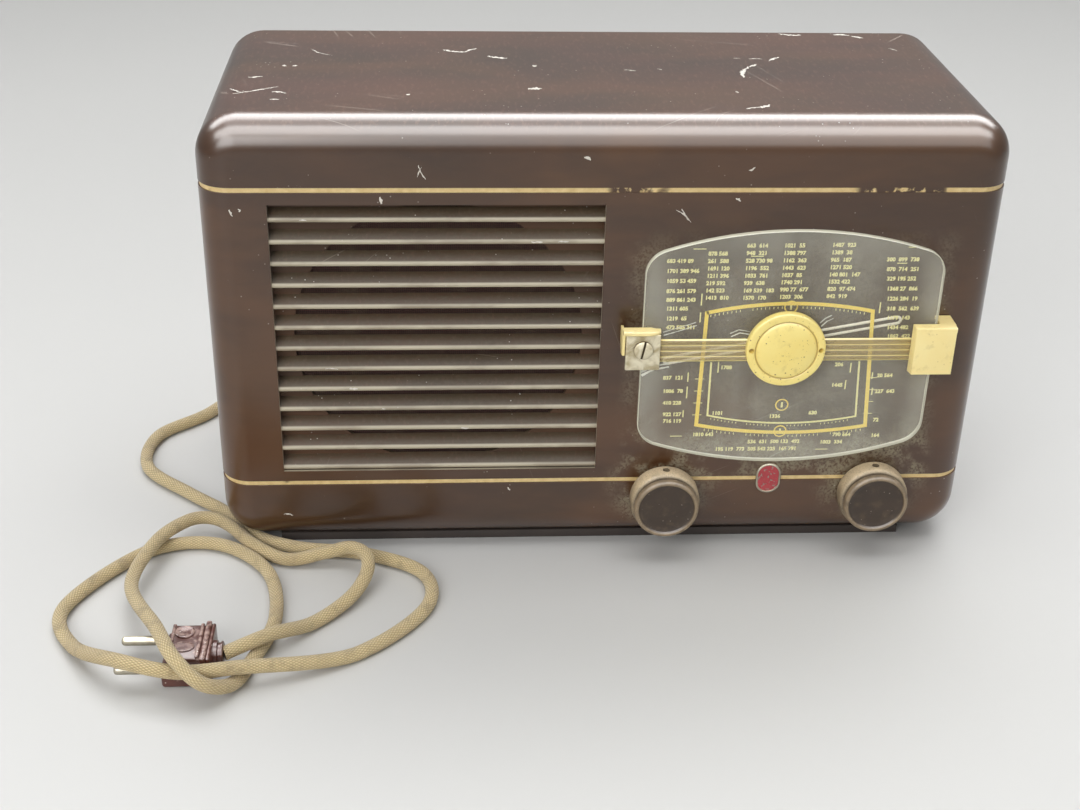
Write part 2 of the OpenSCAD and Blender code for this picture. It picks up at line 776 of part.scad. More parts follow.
module chassis() {
    apron_h = chassis_z - chassis_bottom_z;
    depth = chassis_back_y - chassis_front_y;
    tab_l = 22;
    color("#9da0a2") difference() {
        union() {
            translate([-chassis_w / 2, chassis_front_y, chassis_z - sheet_t]) cube([chassis_w, depth, sheet_t]);
            for (y = [chassis_front_y, chassis_back_y - sheet_t])
                translate([-chassis_w / 2, y, chassis_bottom_z]) cube([chassis_w, sheet_t, apron_h]);
            for (sx = [-1, 1], y = [chassis_front_y, chassis_back_y - tab_l])
                translate([sx * bolt_x - 10, y, chassis_bottom_z]) cube([20, tab_l, sheet_t]);
        }
        for (x = [volume_x, tuning_x]) translate([x, chassis_front_y, knob_z])
            bar_y(bush_r + running, -lap, sheet_t + lap);
        translate([band_x, chassis_back_y, knob_z]) bar_y(bush_r + running, -sheet_t - lap, lap);
        for (sx = [-1, 1]) translate([sx * socket_pitch / 2, chassis_back_y, socket_z])
            bar_y(sleeve_r + 1.5, -sheet_t - lap, lap);
        for (sx = [-1, 1], y = [bolt_front_y, bolt_back_y]) translate([sx * bolt_x, y, chassis_bottom_z - lap])
            cylinder(r = bolt_r + running, h = sheet_t + 2 * lap);
        for (x = valve_xs) translate([x, valve_y, chassis_z - sheet_t - lap]) cylinder(r = 12, h = sheet_t + 2 * lap);
    }
}

module chassis_bolts() {
    color("#77716a") for (sx = [-1, 1], y = [bolt_front_y, bolt_back_y]) translate([sx * bolt_x, y, 0])
        difference() {
            union() {
                translate([0, 0, plinth_h - 2.6]) cylinder(r = 3.8, h = 2.6);
                translate([0, 0, plinth_h - 1]) cylinder(r = bolt_r, h = wall + chassis_gap + sheet_t + 4);
            }
            translate([-5, -0.5, plinth_h - 3.6]) cube([10, 1, 2.2]);
        }
}

module speaker_frame() {
    r = speaker_d / 2;
    neck_r = magnet_d / 2;
    color("#84786a") translate([grille_x, speaker_y, grille_cz]) difference() {
        along_y() rotate_extrude() union() {
            translate([baffle_hole_d / 2, 0]) square([r - baffle_hole_d / 2, 1.6]);
            polygon([[baffle_hole_d / 2, 0], [baffle_hole_d / 2 + 1.6, 0],
                [neck_r, basket_depth], [neck_r - 1.6, basket_depth]]);
            translate([14.5, basket_depth - 1.2]) square([neck_r - 14.5, 1.2]);
        }
        for (a = [45 : 90 : 315]) rotate([0, a, 0]) translate([speaker_bolt_r, 0, 0])
            bar_y(speaker_screw_r + loose, -lap, 3);
        for (a = [0 : 60 : 300]) rotate([0, a, 0]) translate([neck_r + 3, 7, -9]) cube([40, basket_depth - 14, 18]);
    }
}

module speaker_magnet() {
    r = magnet_d / 2;
    gap_r = 13.6;
    pole_r = 12;
    color("#55504a") translate([grille_x, speaker_y + basket_depth, grille_cz]) along_y() rotate_extrude() union() {
        translate([gap_r, 0]) square([r - gap_r, 5]);
        translate([gap_r + 4, 0]) square([r - 3 - gap_r - 4, 24]);
        square([pole_r, 24]);
        translate([0, 20]) square([r, 6]);
    }
}

module speaker_cone() {
    rim_r = baffle_hole_d / 2 - 1.4;
    coil_r = 12.8;
    color("#3a3330") translate([grille_x, speaker_y, grille_cz]) along_y() rotate_extrude() union() {
        polygon([[rim_r, 0.2], [rim_r, 1], [rim_r - 4, 1], [coil_r + 0.4, basket_depth - 8],
            [coil_r + 0.4, basket_depth + 3], [coil_r - 0.4, basket_depth + 3], [coil_r - 0.4, basket_depth - 9],
            [0, basket_depth - 13], [0, basket_depth - 13.8], [coil_r, basket_depth - 9.4], [rim_r - 4, 0.2]]);
    }
}

module speaker_fixings() {
    color("#77716a") translate([grille_x, 0, grille_cz]) {
        for (sx = [-1, 1], sz = [-1, 1]) translate([sx * post_x, 0, sz * post_z]) {
            bar_y(speaker_screw_r, baffle_y - 6, baffle_y + baffle_t);
            bar_y(3, baffle_y + baffle_t, baffle_y + baffle_t + 1.8);
        }
        for (a = [45 : 90 : 315]) rotate([0, a, 0]) translate([speaker_bolt_r, 0, 0]) {
            bar_y(speaker_screw_r, baffle_y + 0.4, speaker_y + 1.6);
            bar_y(2.8, speaker_y + 1.6, speaker_y + 4);
        }
    }
}

// Iron core with a wound coil, on two feet
module output_transformer() {
    core = [36, 26, 32];
    color("#6a5a48") translate([-126, front_y + 58, chassis_z]) difference() {
        union() {
            translate([-core[0] / 2, -7, 0]) cube([core[0], 14, core[2]]);
            translate([-11, -core[1] / 2, 5]) cube([22, core[1], core[2] - 10]);
            translate([-core[0] / 2 - 6, -7, 0]) cube([core[0] + 12, 14, sheet_t]);
        }
        for (sx = [-1, 1]) translate([sx * (core[0] / 2 + 3), 0, -lap]) cylinder(r = 1.6, h = 4);
    }
}

module smoothing_capacitor() {
    color("#b9bcbe") translate([-8, front_y + 66, chassis_z]) {
        cylinder(r = 13, h = 62);
        translate([0, 0, 61]) cylinder(r = 8, h = 3);
        cylinder(r = 15, h = 3);
    }
}

module dropper_resistor() {
    color("#5c4a38") translate([132, valve_y, chassis_z]) {
        difference() {
            union() {
                translate([0, 0, 8]) cylinder(r = 9.5, h = 84);
                for (z = [14, 46, 78]) translate([0, 0, z]) cylinder(r = 10.4, h = 4);
            }
            translate([0, 0, 7]) cylinder(r = 4, h = 86);
        }
        cylinder(r = 2, h = 98);
        cylinder(r = 8, h = 2);
        for (z = [4, 92]) translate([0, 0, z]) cylinder(r = 7, h = 4);
    }
}

// A valve's glass: a straight bulb with a domed top, standing on its base
module valve_glass(x, d, h) {
    r = d / 2;
    color("#b7c4c4") translate([x, valve_y, valve_glass_z]) rotate_extrude() union() {
        square([r - 3, h - r]);
        translate([0, 3]) square([r, h - r - 3]);
        translate([r - 3, 3]) circle(3);
        translate([0, h - r]) intersection() {
            circle(r);
            square([r, r]);
        }
    }
}

module mixer_valve() {
    valve_glass(valve_xs[3], valve_d, valve_h);
}

module amplifier_valve() {
    valve_glass(valve_xs[2], valve_d, valve_h);
}

module output_valve() {
    valve_glass(valve_xs[1], valve_d + 5, valve_h + 14);
}

module rectifier_valve() {
    valve_glass(valve_xs[0], valve_d + 2, valve_h + 6);
}

module valve_bases() {
    color("#2a2422") for (x = valve_xs) translate([x, valve_y, valve_base_z]) {
        cylinder(r = base_r, h = base_h);
        cylinder(r = base_r + 1, h = 4);
    }
}

module valve_sockets() {
    color("#6b4a2c") for (x = valve_xs) translate([x, valve_y, chassis_z]) {
        cylinder(r = base_r + 3, h = valve_socket_h);
        translate([-24, -4, 0]) cube([48, 8, 1]);
    }
}

module if_cans() {
    can = 28;
    color("#c2c5c8") for (p = [[24, front_y + 60], [134, front_y + 50]]) translate([p[0], p[1], chassis_z])
        difference() {
            translate([-can / 2, -can / 2, 0]) cube([can, can, 58]);
            difference() {
                translate([1 - can / 2, 1 - can / 2, -lap]) cube([can - 2, can - 2, 58]);
                translate([0, 0, -2 * lap]) cylinder(r = 5, h = 62);
            }
            translate([0, -can / 2 - lap, 40]) bar_y(2.5, 0, 3);
        }
}

module aerial_coil() {
    color("#a8733a") translate([88, valve_y, chassis_z]) {
        cylinder(r = 8, h = 42);
        for (z = [8, 22]) translate([0, 0, z]) cylinder(r = 11, h = 7);
        cylinder(r = 12, h = 2);
    }
}

module band_switch() {
    color("#7d5a34") translate([band_x, chassis_back_y, knob_z]) difference() {
        union() {
            bar_y(bush_nut_r, 0, bush_nut_t);
            bar_y(bush_r, -sheet_t - lap, bush_nut_t);
            bar_y(14, -sheet_t - 3, -sheet_t);
            bar_y(8, -sheet_t - 12, -sheet_t);
            bar_y(14, -sheet_t - 11, -sheet_t - 9);
        }
        bar_y(shaft_r + running, -sheet_t - 8, bush_nut_t + lap);
    }
}

module band_shaft() {
    color("#9a9488") translate([band_x, 0, knob_z]) bar_y(shaft_r, chassis_back_y - sheet_t - 7.5, back_y + 13);
}

module band_knob() {
    r = band_knob_d / 2;
    color("#3c2e25") translate([band_x, back_y + 1.5, knob_z]) difference() {
        along_y() rotate_extrude() union() {
            square([r, rear_reach - 3]);
            square([r - 1.5, rear_reach - 1.5]);
            translate([r - 1.5, rear_reach - 3]) circle(1.5);
        }
        bar_y(shaft_r + 0.02, -lap, 12);
        translate([-0.8, rear_reach - 2.3, 0]) cube([1.6, 4, r + lap]);
    }
}

// A strip of tags under the chassis, with capacitors in front and resistors behind
module tag_strip() {
    strip = [92, 2, 18];
    color("#8a6a3a") translate([-104, front_y + 62, chassis_z - sheet_t - strip[2]]) {
        cube(strip);
        for (i = [0 : 3]) translate([10 + i * 24, 0, 8]) {
            bar_y(4.5, -28, -4);
            bar_y(0.8, -5, lap);
        }
        for (i = [0 : 5]) translate([6 + i * 16, strip[1], 8]) {
            bar_y(2.4, 4, 18);
            bar_y(0.8, -lap, 5);
        }
    }
}

module socket_panel() {
    color("#5a3c22") translate([0, 0, socket_z]) plate_y(chassis_back_y, chassis_back_y + panel_t) difference() {
        square([panel_w, panel_h], center = true);
        for (sx = [-1, 1]) translate([sx * socket_pitch / 2, 0]) circle(sleeve_r + running);
    }
}

module socket_sleeves() {
    out_y = cover_y + 2;
    color("#c9b070") for (sx = [-1, 1]) translate([sx * socket_pitch / 2, 0, socket_z]) difference() {
        bar_y(sleeve_r, out_y - sleeve_l, out_y);
        bar_y(socket_d / 2, out_y - sleeve_l - lap, out_y + lap);
    }
}

module mains_grommet() {
    color("#2b2622") translate([grommet_x, 0, grommet_z]) {
        bar_y(grommet_r, cover_y, cover_y + cover_t);
        bar_y(grommet_r + 2, cover_y - 1.5, cover_y);
        bar_y(grommet_r + 2, cover_y + cover_t, back_y + 1);
        bar_y(grommet_r - 0.6, back_y + 1, back_y + grommet_out);
    }
}

// A smooth curve through the route's points, two steps to each stretch
function at(p, i) = p[max(0, min(len(p) - 1, i))];
function smooth(a, b, c, d, t) = 0.5 * (2 * b + (c - a) * t + (2 * a - 5 * b + 4 * c - d) * t * t
    + (3 * b - a - 3 * c + d) * t * t * t);
function lifted(p) = [p[0], p[1], max(p[2], cord_r)];
function curve(p, n) = [for (i = [0 : len(p) - 2], k = [0 : n - 1])
    lifted(smooth(at(p, i - 1), at(p, i), at(p, i + 1), at(p, i + 2), k / n)), lifted(p[len(p) - 1])];
function unit(v) = v / norm(v);
function heading(p, i) = i == 0 ? [0, 1, 0] : i == len(p) - 1 ? [-1, 0, 0] : unit(p[i + 1] - p[i - 1]);
function ring(c, h, r, n) = let (side = unit(cross(h, [0, 0, 1])), up = cross(side, h))
    [for (k = [0 : n - 1]) c + r * (cos(360 * k / n) * side + sin(360 * k / n) * up)];

module mains_cord() {
    sides = 8;
    path = curve(cord_route, 2);
    last = len(path) - 1;
    points = [for (i = [0 : last]) each ring(path[i], heading(path, i), cord_r, sides)];
    skin = [for (i = [0 : last - 1], k = [0 : sides - 1]) let (a = i * sides + k, b = i * sides + (k + 1) % sides)
        each [[a, a + sides, b], [b, a + sides, b + sides]]];
    ends = [[for (k = [0 : sides - 1]) k], [for (k = [sides - 1 : -1 : 0]) last * sides + k]];
    color("#c9b07c") polyhedron(points, concat(skin, ends));
}

module plug_body() {
    body_end = plug_x + plug_body_l;
    neck_end = body_end + plug_flange_l + plug_neck_l;
    color("#6b2f2a") difference() {
        union() {
            translate([plug_x, plug_y - plug_w / 2 + 0.5, 0]) cube([plug_body_l, plug_w - 1, plug_t - 1]);
            translate([plug_x + 3, plug_y - plug_w / 2 + 1.5, 0]) cube([plug_body_l - 5, plug_w - 3, plug_t - 0.4]);
            translate([body_end, plug_y - plug_w / 2, 0]) cube([plug_flange_l, plug_w, plug_t]);
            translate([body_end + plug_flange_l, plug_y, plug_z]) rotate([0, 90, 0])
                cylinder(r = 5.6, h = plug_neck_l);
            translate([plug_x + 8, plug_y + 6, plug_t - 2]) cylinder(r = 4, h = 2.1);
        }
        translate([plug_x + 8, plug_y + 6, plug_t - 4]) cylinder(r = 2.6, h = 6);
    }
}

module plug_pins() {
    color("#b5b0a4") for (sy = [-1, 1]) translate([plug_x, plug_y + sy * pin_pitch / 2, plug_z])
        rotate([0, -90, 0]) cylinder(r = pin_d / 2, h = pin_l);
}

module plug_screw() {
    color("#a39a80") translate([plug_x + 8, plug_y + 6, plug_t - 4]) difference() {
        cylinder(r = 2.5, h = 3);
        translate([-3, -0.4, 2.2]) cube([6, 0.8, 2]);
    }
}

cabinet();
base_plinth();
rear_cover();
rear_cover_screws();
grille_cloth();
baffle_board();
badge();
dial_glass();
dial_strap();
dial_cap();
left_clip();
right_clip();
clip_screws();
broken_clip_cover();
clip_cover();
pointer();
rotor_shaft();
rotor_plates();
drive_drum();
drive_cord();
capacitor_frame();
stator_plates();
capacitor_bracket();
tuning_spindle();
spindle_bush();
tuning_knob();
tuning_grub_screw();
volume_control();
mains_switch();
volume_shaft();
volume_knob();
volume_grub_screw();
chassis();
chassis_bolts();
speaker_frame();
speaker_magnet();
speaker_cone();
speaker_fixings();
output_transformer();
smoothing_capacitor();
dropper_resistor();
mixer_valve();
amplifier_valve();
output_valve();
rectifier_valve();
valve_bases();
valve_sockets();
if_cans();
aerial_coil();
band_switch();
band_shaft();
band_knob();
tag_strip();
socket_panel();
socket_sleeves();
mains_grommet();
mains_cord();
plug_body();
plug_pins();
plug_screw();
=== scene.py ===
import math
import random

import bmesh
import bpy
from mathutils import Matrix, Vector


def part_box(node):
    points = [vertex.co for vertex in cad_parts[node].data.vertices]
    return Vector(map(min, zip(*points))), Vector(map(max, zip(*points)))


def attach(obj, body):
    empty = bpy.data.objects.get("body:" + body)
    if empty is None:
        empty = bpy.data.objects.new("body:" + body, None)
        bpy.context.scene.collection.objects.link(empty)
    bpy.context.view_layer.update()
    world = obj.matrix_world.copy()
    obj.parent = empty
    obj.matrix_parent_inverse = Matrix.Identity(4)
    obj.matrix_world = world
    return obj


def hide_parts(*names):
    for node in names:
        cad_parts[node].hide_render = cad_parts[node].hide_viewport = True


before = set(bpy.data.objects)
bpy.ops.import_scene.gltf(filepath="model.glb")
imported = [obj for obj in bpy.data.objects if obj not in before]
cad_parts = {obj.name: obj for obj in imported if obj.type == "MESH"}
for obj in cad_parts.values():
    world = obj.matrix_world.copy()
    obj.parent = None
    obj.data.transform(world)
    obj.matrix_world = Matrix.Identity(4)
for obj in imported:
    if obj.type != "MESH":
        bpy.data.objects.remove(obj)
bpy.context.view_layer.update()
MM = 0.001

# Camera: the photograph's viewpoint, a little above the set and left of its middle. The picture is 1080
# by 810, and the place, the turn and the focal length were found from the case's corners and the knobs.
picture_wide, focal_px, film_mm = 1080, 1578.72, 36
camera_at = Vector((-66.984, -677.966, 411.637)) * MM
yaw, pitch, roll = 0.0659, 0.5027, 0.0231
ahead = Vector((math.sin(yaw) * math.cos(pitch), math.cos(yaw) * math.cos(pitch), -math.sin(pitch)))
level_right = Vector((math.cos(yaw), -math.sin(yaw), 0))
level_up = level_right.cross(ahead)
right = math.cos(roll) * level_right + math.sin(roll) * level_up
up = math.cos(roll) * level_up - math.sin(roll) * level_right
lens = bpy.data.cameras.new("camera")
lens.sensor_fit = "HORIZONTAL"
lens.sensor_width = film_mm
lens.lens = focal_px / picture_wide * film_mm
lens.clip_start = 0.01
camera = bpy.data.objects.new("camera", lens)
camera.matrix_world = Matrix.Translation(camera_at) @ Matrix((right, up, -ahead)).transposed().to_4x4()
bpy.context.scene.collection.objects.link(camera)
bpy.context.scene.camera = camera


# Mains lead: two wires in a cotton braid, 6 mm thick, which leaves the rear cover, runs round the case's
# left end and lies in loose loops in front of it. The braid is cream, soiled grey-brown with handling.
def sum_of(operation, turned=False):
    """A method that adds one Math node; turned swaps its two values"""
    def write(one, *others):
        values = (one, *others)
        return one.owner.node("Math", dict(enumerate(values[::-1] if turned else values)), operation=operation)
    return write


class Number:
    """A value that changes over a surface, so that a finish is written as a sum"""

    def __init__(self, owner, socket):
        self.owner, self.socket = owner, socket

    __add__ = __radd__ = sum_of("ADD")
    __mul__ = __rmul__ = sum_of("MULTIPLY")
    __sub__, __rsub__ = sum_of("SUBTRACT"), sum_of("SUBTRACT", True)
    __truediv__, __pow__ = sum_of("DIVIDE"), sum_of("POWER")
    __gt__, __lt__ = sum_of("GREATER_THAN"), sum_of("LESS_THAN")
    __abs__, sine = sum_of("ABSOLUTE"), sum_of("SINE")
    least, most = sum_of("MINIMUM"), sum_of("MAXIMUM")

    def step(self, low, high):
        """0 below low, 1 above high, and smooth between; low may be the higher number"""
        flip = low > high
        values = {0: self, 1: min(low, high), 2: max(low, high), 3: float(flip), 4: float(not flip)}
        return self.owner.node("MapRange", values, interpolation_type="SMOOTHSTEP")

    def mix(self, *colours):
        """The first colour where this is 0, and the second where it is 1"""
        one, other = (c if isinstance(c, Number) else paint(*c) for c in colours)
        return self.owner.node("Mix", {0: self, 6: one, 7: other}, 2, data_type="RGBA")


def paint(red, green, blue):
    """A colour as it is seen, 0 to 255, as the numbers that a shader uses"""
    seen = [c / 255 for c in (red, green, blue)]
    return [c / 12.92 if c < 0.04045 else ((c + 0.055) / 1.055) ** 2.4 for c in seen] + [1]


def layers(tone, *coats):
    """A tone with other colours laid over it in turn, each as far as its share goes"""
    for share, colour in coats:
        tone = share.mix(tone, colour)
    return tone


class Wiring:
    """A node tree that is written one node at a time"""

    family = "ShaderNode"

    def node(self, kind, values=None, out=0, **settings):
        made = self.tree.nodes.new(self.family + kind)
        for name, value in settings.items():
            setattr(made, name, value)
        for name, value in (values or {}).items():
            if isinstance(value, Number):
                self.tree.links.new(value.socket, made.inputs[name])
            else:
                made.inputs[name].default_value = value
        return Number(self, made.outputs[out]) if made.outputs else made


class Finish(Wiring):
    """A material, named for the stuff that it shows"""

    def __init__(self, name):
        self.material = bpy.data.materials.new(name)
        self.material.use_nodes = True
        self.tree = self.material.node_tree
        self.tree.nodes.clear()
        self.place = self.node("TexCoord", out="Object")

    def axes(self, vector):
        return [Number(self, part) for part in self.node("SeparateXYZ", {0: vector}).socket.node.outputs]

    def millimetres(self):
        """X, Y and Z of the point"""
        return [axis * 1000 for axis in self.axes(self.place)]

    def facing(self):
        """How far the surface turns to +X, +Y and +Z, by its smooth shape and not by its bump"""
        return self.axes(self.node("NewGeometry", out="Normal"))

    def cloud(self, scale, detail=3, stretch=None, bend=0, at=None):
        at = self.node("Mapping", {0: self.place, "Scale": stretch}) if stretch else at or self.place
        values = {"Vector": at, "Scale": scale, "Detail": detail, "Roughness": 0.55, "Distortion": bend}
        return self.node("TexNoise", values)

    def cells(self, scale, at=None, feature="F1"):
        return self.node("TexVoronoi", {"Vector": at or self.place, "Scale": scale}, "Distance", feature=feature)

    def scratches(self, size, width, slants, wear, on_face=True):
        """Fine straight marks: bands of stretched cells at a few slants, broken up by a cloud"""
        marks = 0
        for n, (slant, stretch) in enumerate(slants):
            turned = (0, slant, 0) if on_face else (0, 0, slant)
            spun = self.node("Mapping", {0: self.place, "Rotation": turned, "Location": (0.013 * n, 0.02, 0.007)})
            line = self.node("Mapping", {0: spun, "Scale": (0.06 * stretch, 1, 1)})
            seen = self.cloud(size * 0.35, 2, at=spun).step(wear + 0.12, wear + 0.2)
            marks = self.cells(size, line, "DISTANCE_TO_EDGE").step(width, width * 0.3) * seen + marks
        return marks.least(1)

    def surface(self, colour, rough, relief=None, depth=0.0002, metal=0, coat=0, alpha=1, **same):
        """Joins the finish to a shader; relief is a height from 0 to 1 that stands for depth metres"""
        values = {"Base Color": colour, "Roughness": rough, "Metallic": metal, "Coat Weight": coat, "Alpha": alpha}
        if relief is not None:
            values["Normal"] = self.node("Bump", {"Strength": 1, "Distance": depth, "Height": relief})
        values.update({name.replace("_", " "): value for name, value in same.items()})
        self.node("OutputMaterial", {0: self.node("BsdfPrincipled", values)})
        return self


class Recipe(Wiring):
    """Geometry Nodes that make a mesh from a shape and a few named sizes"""

    family = "GeometryNode"

    def __init__(self, name, **sizes):
        self.tree = bpy.data.node_groups.new(name, "GeometryNodeTree")
        face = self.tree.interface
        face.new_socket("Shape", in_out="INPUT", socket_type="NodeSocketGeometry")
        self.sockets = {size: face.new_socket(size, in_out="INPUT", socket_type="NodeSocket" + kind)
                        for size, kind in dict(sizes, Finish="Material").items()}
        face.new_socket("Shape", in_out="OUTPUT", socket_type="NodeSocketGeometry")
        self.given = self.tree.nodes.new("NodeGroupInput")

    def __getitem__(self, name):
        return Number(self, self.given.outputs[name])

    def end(self, shape):
        dressed = self.node("SetMaterial", {0: self.node("RealizeInstances", {0: shape}), "Material": self["Finish"]})
        self.tree.links.new(dressed.socket, self.tree.nodes.new("NodeGroupOutput").inputs[0])

    def make(self, piece, finish, **sizes):
        """Runs the recipe on a piece, and leaves the result as its plain mesh"""
        step = piece.modifiers.new("recipe", "NODES")
        step.node_group = self.tree
        for name, value in dict(sizes, Finish=finish.material).items():
            step[self.sockets[name].identifier] = value
        return settle(piece)


def settle(piece):
    """Applies a piece's modifiers, so that what is left is one plain mesh"""
    mesh = bpy.data.meshes.new_from_object(piece.evaluated_get(bpy.context.evaluated_depsgraph_get()))
    name, finishes = piece.name, list(mesh.materials)
    bpy.data.objects.remove(piece)
    mesh.name = name
    mesh.materials.clear()
    for finish in finishes:
        mesh.materials.append(finish)
    return placed(name, mesh)


def placed(name, data):
    """Puts a mesh or a curve in the scene"""
    whole = bpy.data.objects.new(name, data)
    bpy.context.scene.collection.objects.link(whole)
    return whole


def smooth(piece, sharp=35):
    """Shades a piece round, except over edges sharper than the angle"""
    piece.data.shade_smooth()
    piece.data.set_sharp_from_angle(angle=math.radians(sharp))
    return piece


def belongs(piece, slot, *nodes, body="set"):
    """Puts a piece on its body and in the place of its CAD nodes; slot is not used"""
    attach(piece, body)
    if nodes:
        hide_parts(*nodes)


def line_piece(name, points):
    """An open curve through points in millimetres"""
    curve = bpy.data.curves.new(name, "CURVE")
    curve.dimensions = "3D"
    spline = curve.splines.new("POLY")
    spline.points.add(len(points) - 1)
    for spot, p in zip(spline.points, points):
        spot.co = (*(Vector(p) * MM), 1)
    return placed(name, curve)


# The tube along a line keeps the length along it and the turn round it as numbers on its mesh
tube = Recipe("tube_along_line", Radius="Float", Sides="Int", Step="Float")
line = tube.node("ResampleCurve", {0: tube["Shape"], "Length": tube["Step"]}, mode="LENGTH")
circle = tube.node("CurvePrimitiveCircle", {"Radius": tube["Radius"], "Resolution": tube["Sides"]})
measured = []
for shape, measure, factor in ((line, "along", "Length"), (circle, "about", "Factor")):
    kept = tube.node("CaptureAttribute", {0: shape})
    keeper = kept.socket.node
    keeper.capture_items.new("FLOAT", measure)
    tube.tree.links.new(tube.node("SplineParameter", out=factor).socket, keeper.inputs[measure])
    measured.append((kept, measure, keeper))
swept = tube.node("CurveToMesh", {0: measured[0][0], 1: measured[1][0], "Fill Caps": True})
for _, measure, keeper in measured:
    values = {0: swept, "Name": measure, "Value": Number(tube, keeper.outputs[measure])}
    swept = tube.node("StoreNamedAttribute", values, data_type="FLOAT")
tube.end(swept)

yarns_round, braid_pitch = 16, 0.0023
braid = Finish("soiled_cotton_braid")
length, turn = (braid.node("Attribute", out="Fac", attribute_name=measure) for measure in ("along", "about"))
one_way = (turn * yarns_round + length / braid_pitch) * math.pi
other_way = (turn * yarns_round - length / braid_pitch) * math.pi
weave = abs(one_way.sine() * other_way.sine())
fluff = braid.cloud(2600, 4)
worn = layers(weave.mix((176, 150, 98), (236, 216, 164)),
              (braid.cloud(38, 4).step(0.42, 0.72) * 0.6, (182, 158, 112)),
              (braid.cloud(150, 3).step(0.5, 0.75) * 0.45, (132, 110, 76)),
              (fluff.step(0.55, 0.75) * 0.35, (240, 228, 192)))
braid.surface(worn, 0.9, weave + abs((one_way * 3).sine()) * 0.35 + fluff * 0.8, 0.0003, Sheen_Weight=0.25)

lead_d, lead_length = 6, 1.143
lead_route = [Vector(p) for p in (
    (-130, 70, 24), (-130, 87, 23), (-138, 101, 12), (-153, 102, 4), (-175, 87, 3), (-194, 57, 3), (-216, 34, 3),
    (-216, 3, 3), (-192, -22, 3), (-173, -39, 3), (-158.5, -58.5, 3), (-136, -70, 3), (-105, -76, 3), (-79, -92, 3),
    (-78, -119, 3), (-107, -150, 3), (-152, -166.5, 10.5), (-176, -171.5, 12.5), (-200, -165, 13.6),
    (-224, -142, 4), (-233, -113, 3), (-205, -72, 3), (-174, -66, 3), (-149, -88, 3), (-142, -124, 3),
    (-150, -156, 3), (-156, -171, 5), (-166, -178, 12), (-177, -171, 19.5), (-187, -150, 18.5), (-205, -108, 10),
    (-200, -75, 10), (-189, -56, 9), (-178.5, -51.5, 8), (-168.5, -56.5, 6.5), (-157, -69, 4.5),
    (-141, -79.5, 3.2), (-124, -80.5, 7), (-112, -81.5, 10.5), (-104.5, -88.5, 11), (-104, -99.5, 8.5),
    (-111, -113, 5), (-126, -128.5, 3.5), (-142, -144, 9.7), (-160, -153.5, 7.5))]
lead_line = []
for a, b, c, d in zip(lead_route[:1] + lead_route, lead_route, lead_route[1:], lead_route[2:] + lead_route[-1:]):
    for t in (k / 10 for k in range(10)):
        p = 0.5 * (2 * b + (c - a) * t + (2 * a - 5 * b + 4 * c - d) * t**2 + (3 * b - a - 3 * c + d) * t**3)
        lead_line.append(Vector((p.x, p.y, max(p.z, lead_d / 2))))
lead_line.append(lead_route[-1])
lead = tube.make(line_piece("mains_lead", lead_line), braid, Radius=lead_d / 2 * MM, Sides=24, Step=0.0016)
belongs(smooth(lead, 60), "lead_braid", "mains_cord")


# Plug: two halves of red-brown moulding held by one screw, with a thicker grip where the lead goes in,
# and two plain round pins. It lies flat, with its pins to the left and a loop of its own lead over it.
to_right, backwards, forwards, upwards = (1, 0, 0), (0, 1, 0), (0, -1, 0), (0, 0, 1)


def angles(count, sweep=2 * math.pi, start=0.0):
    return [start + sweep * k / count for k in range(count)]


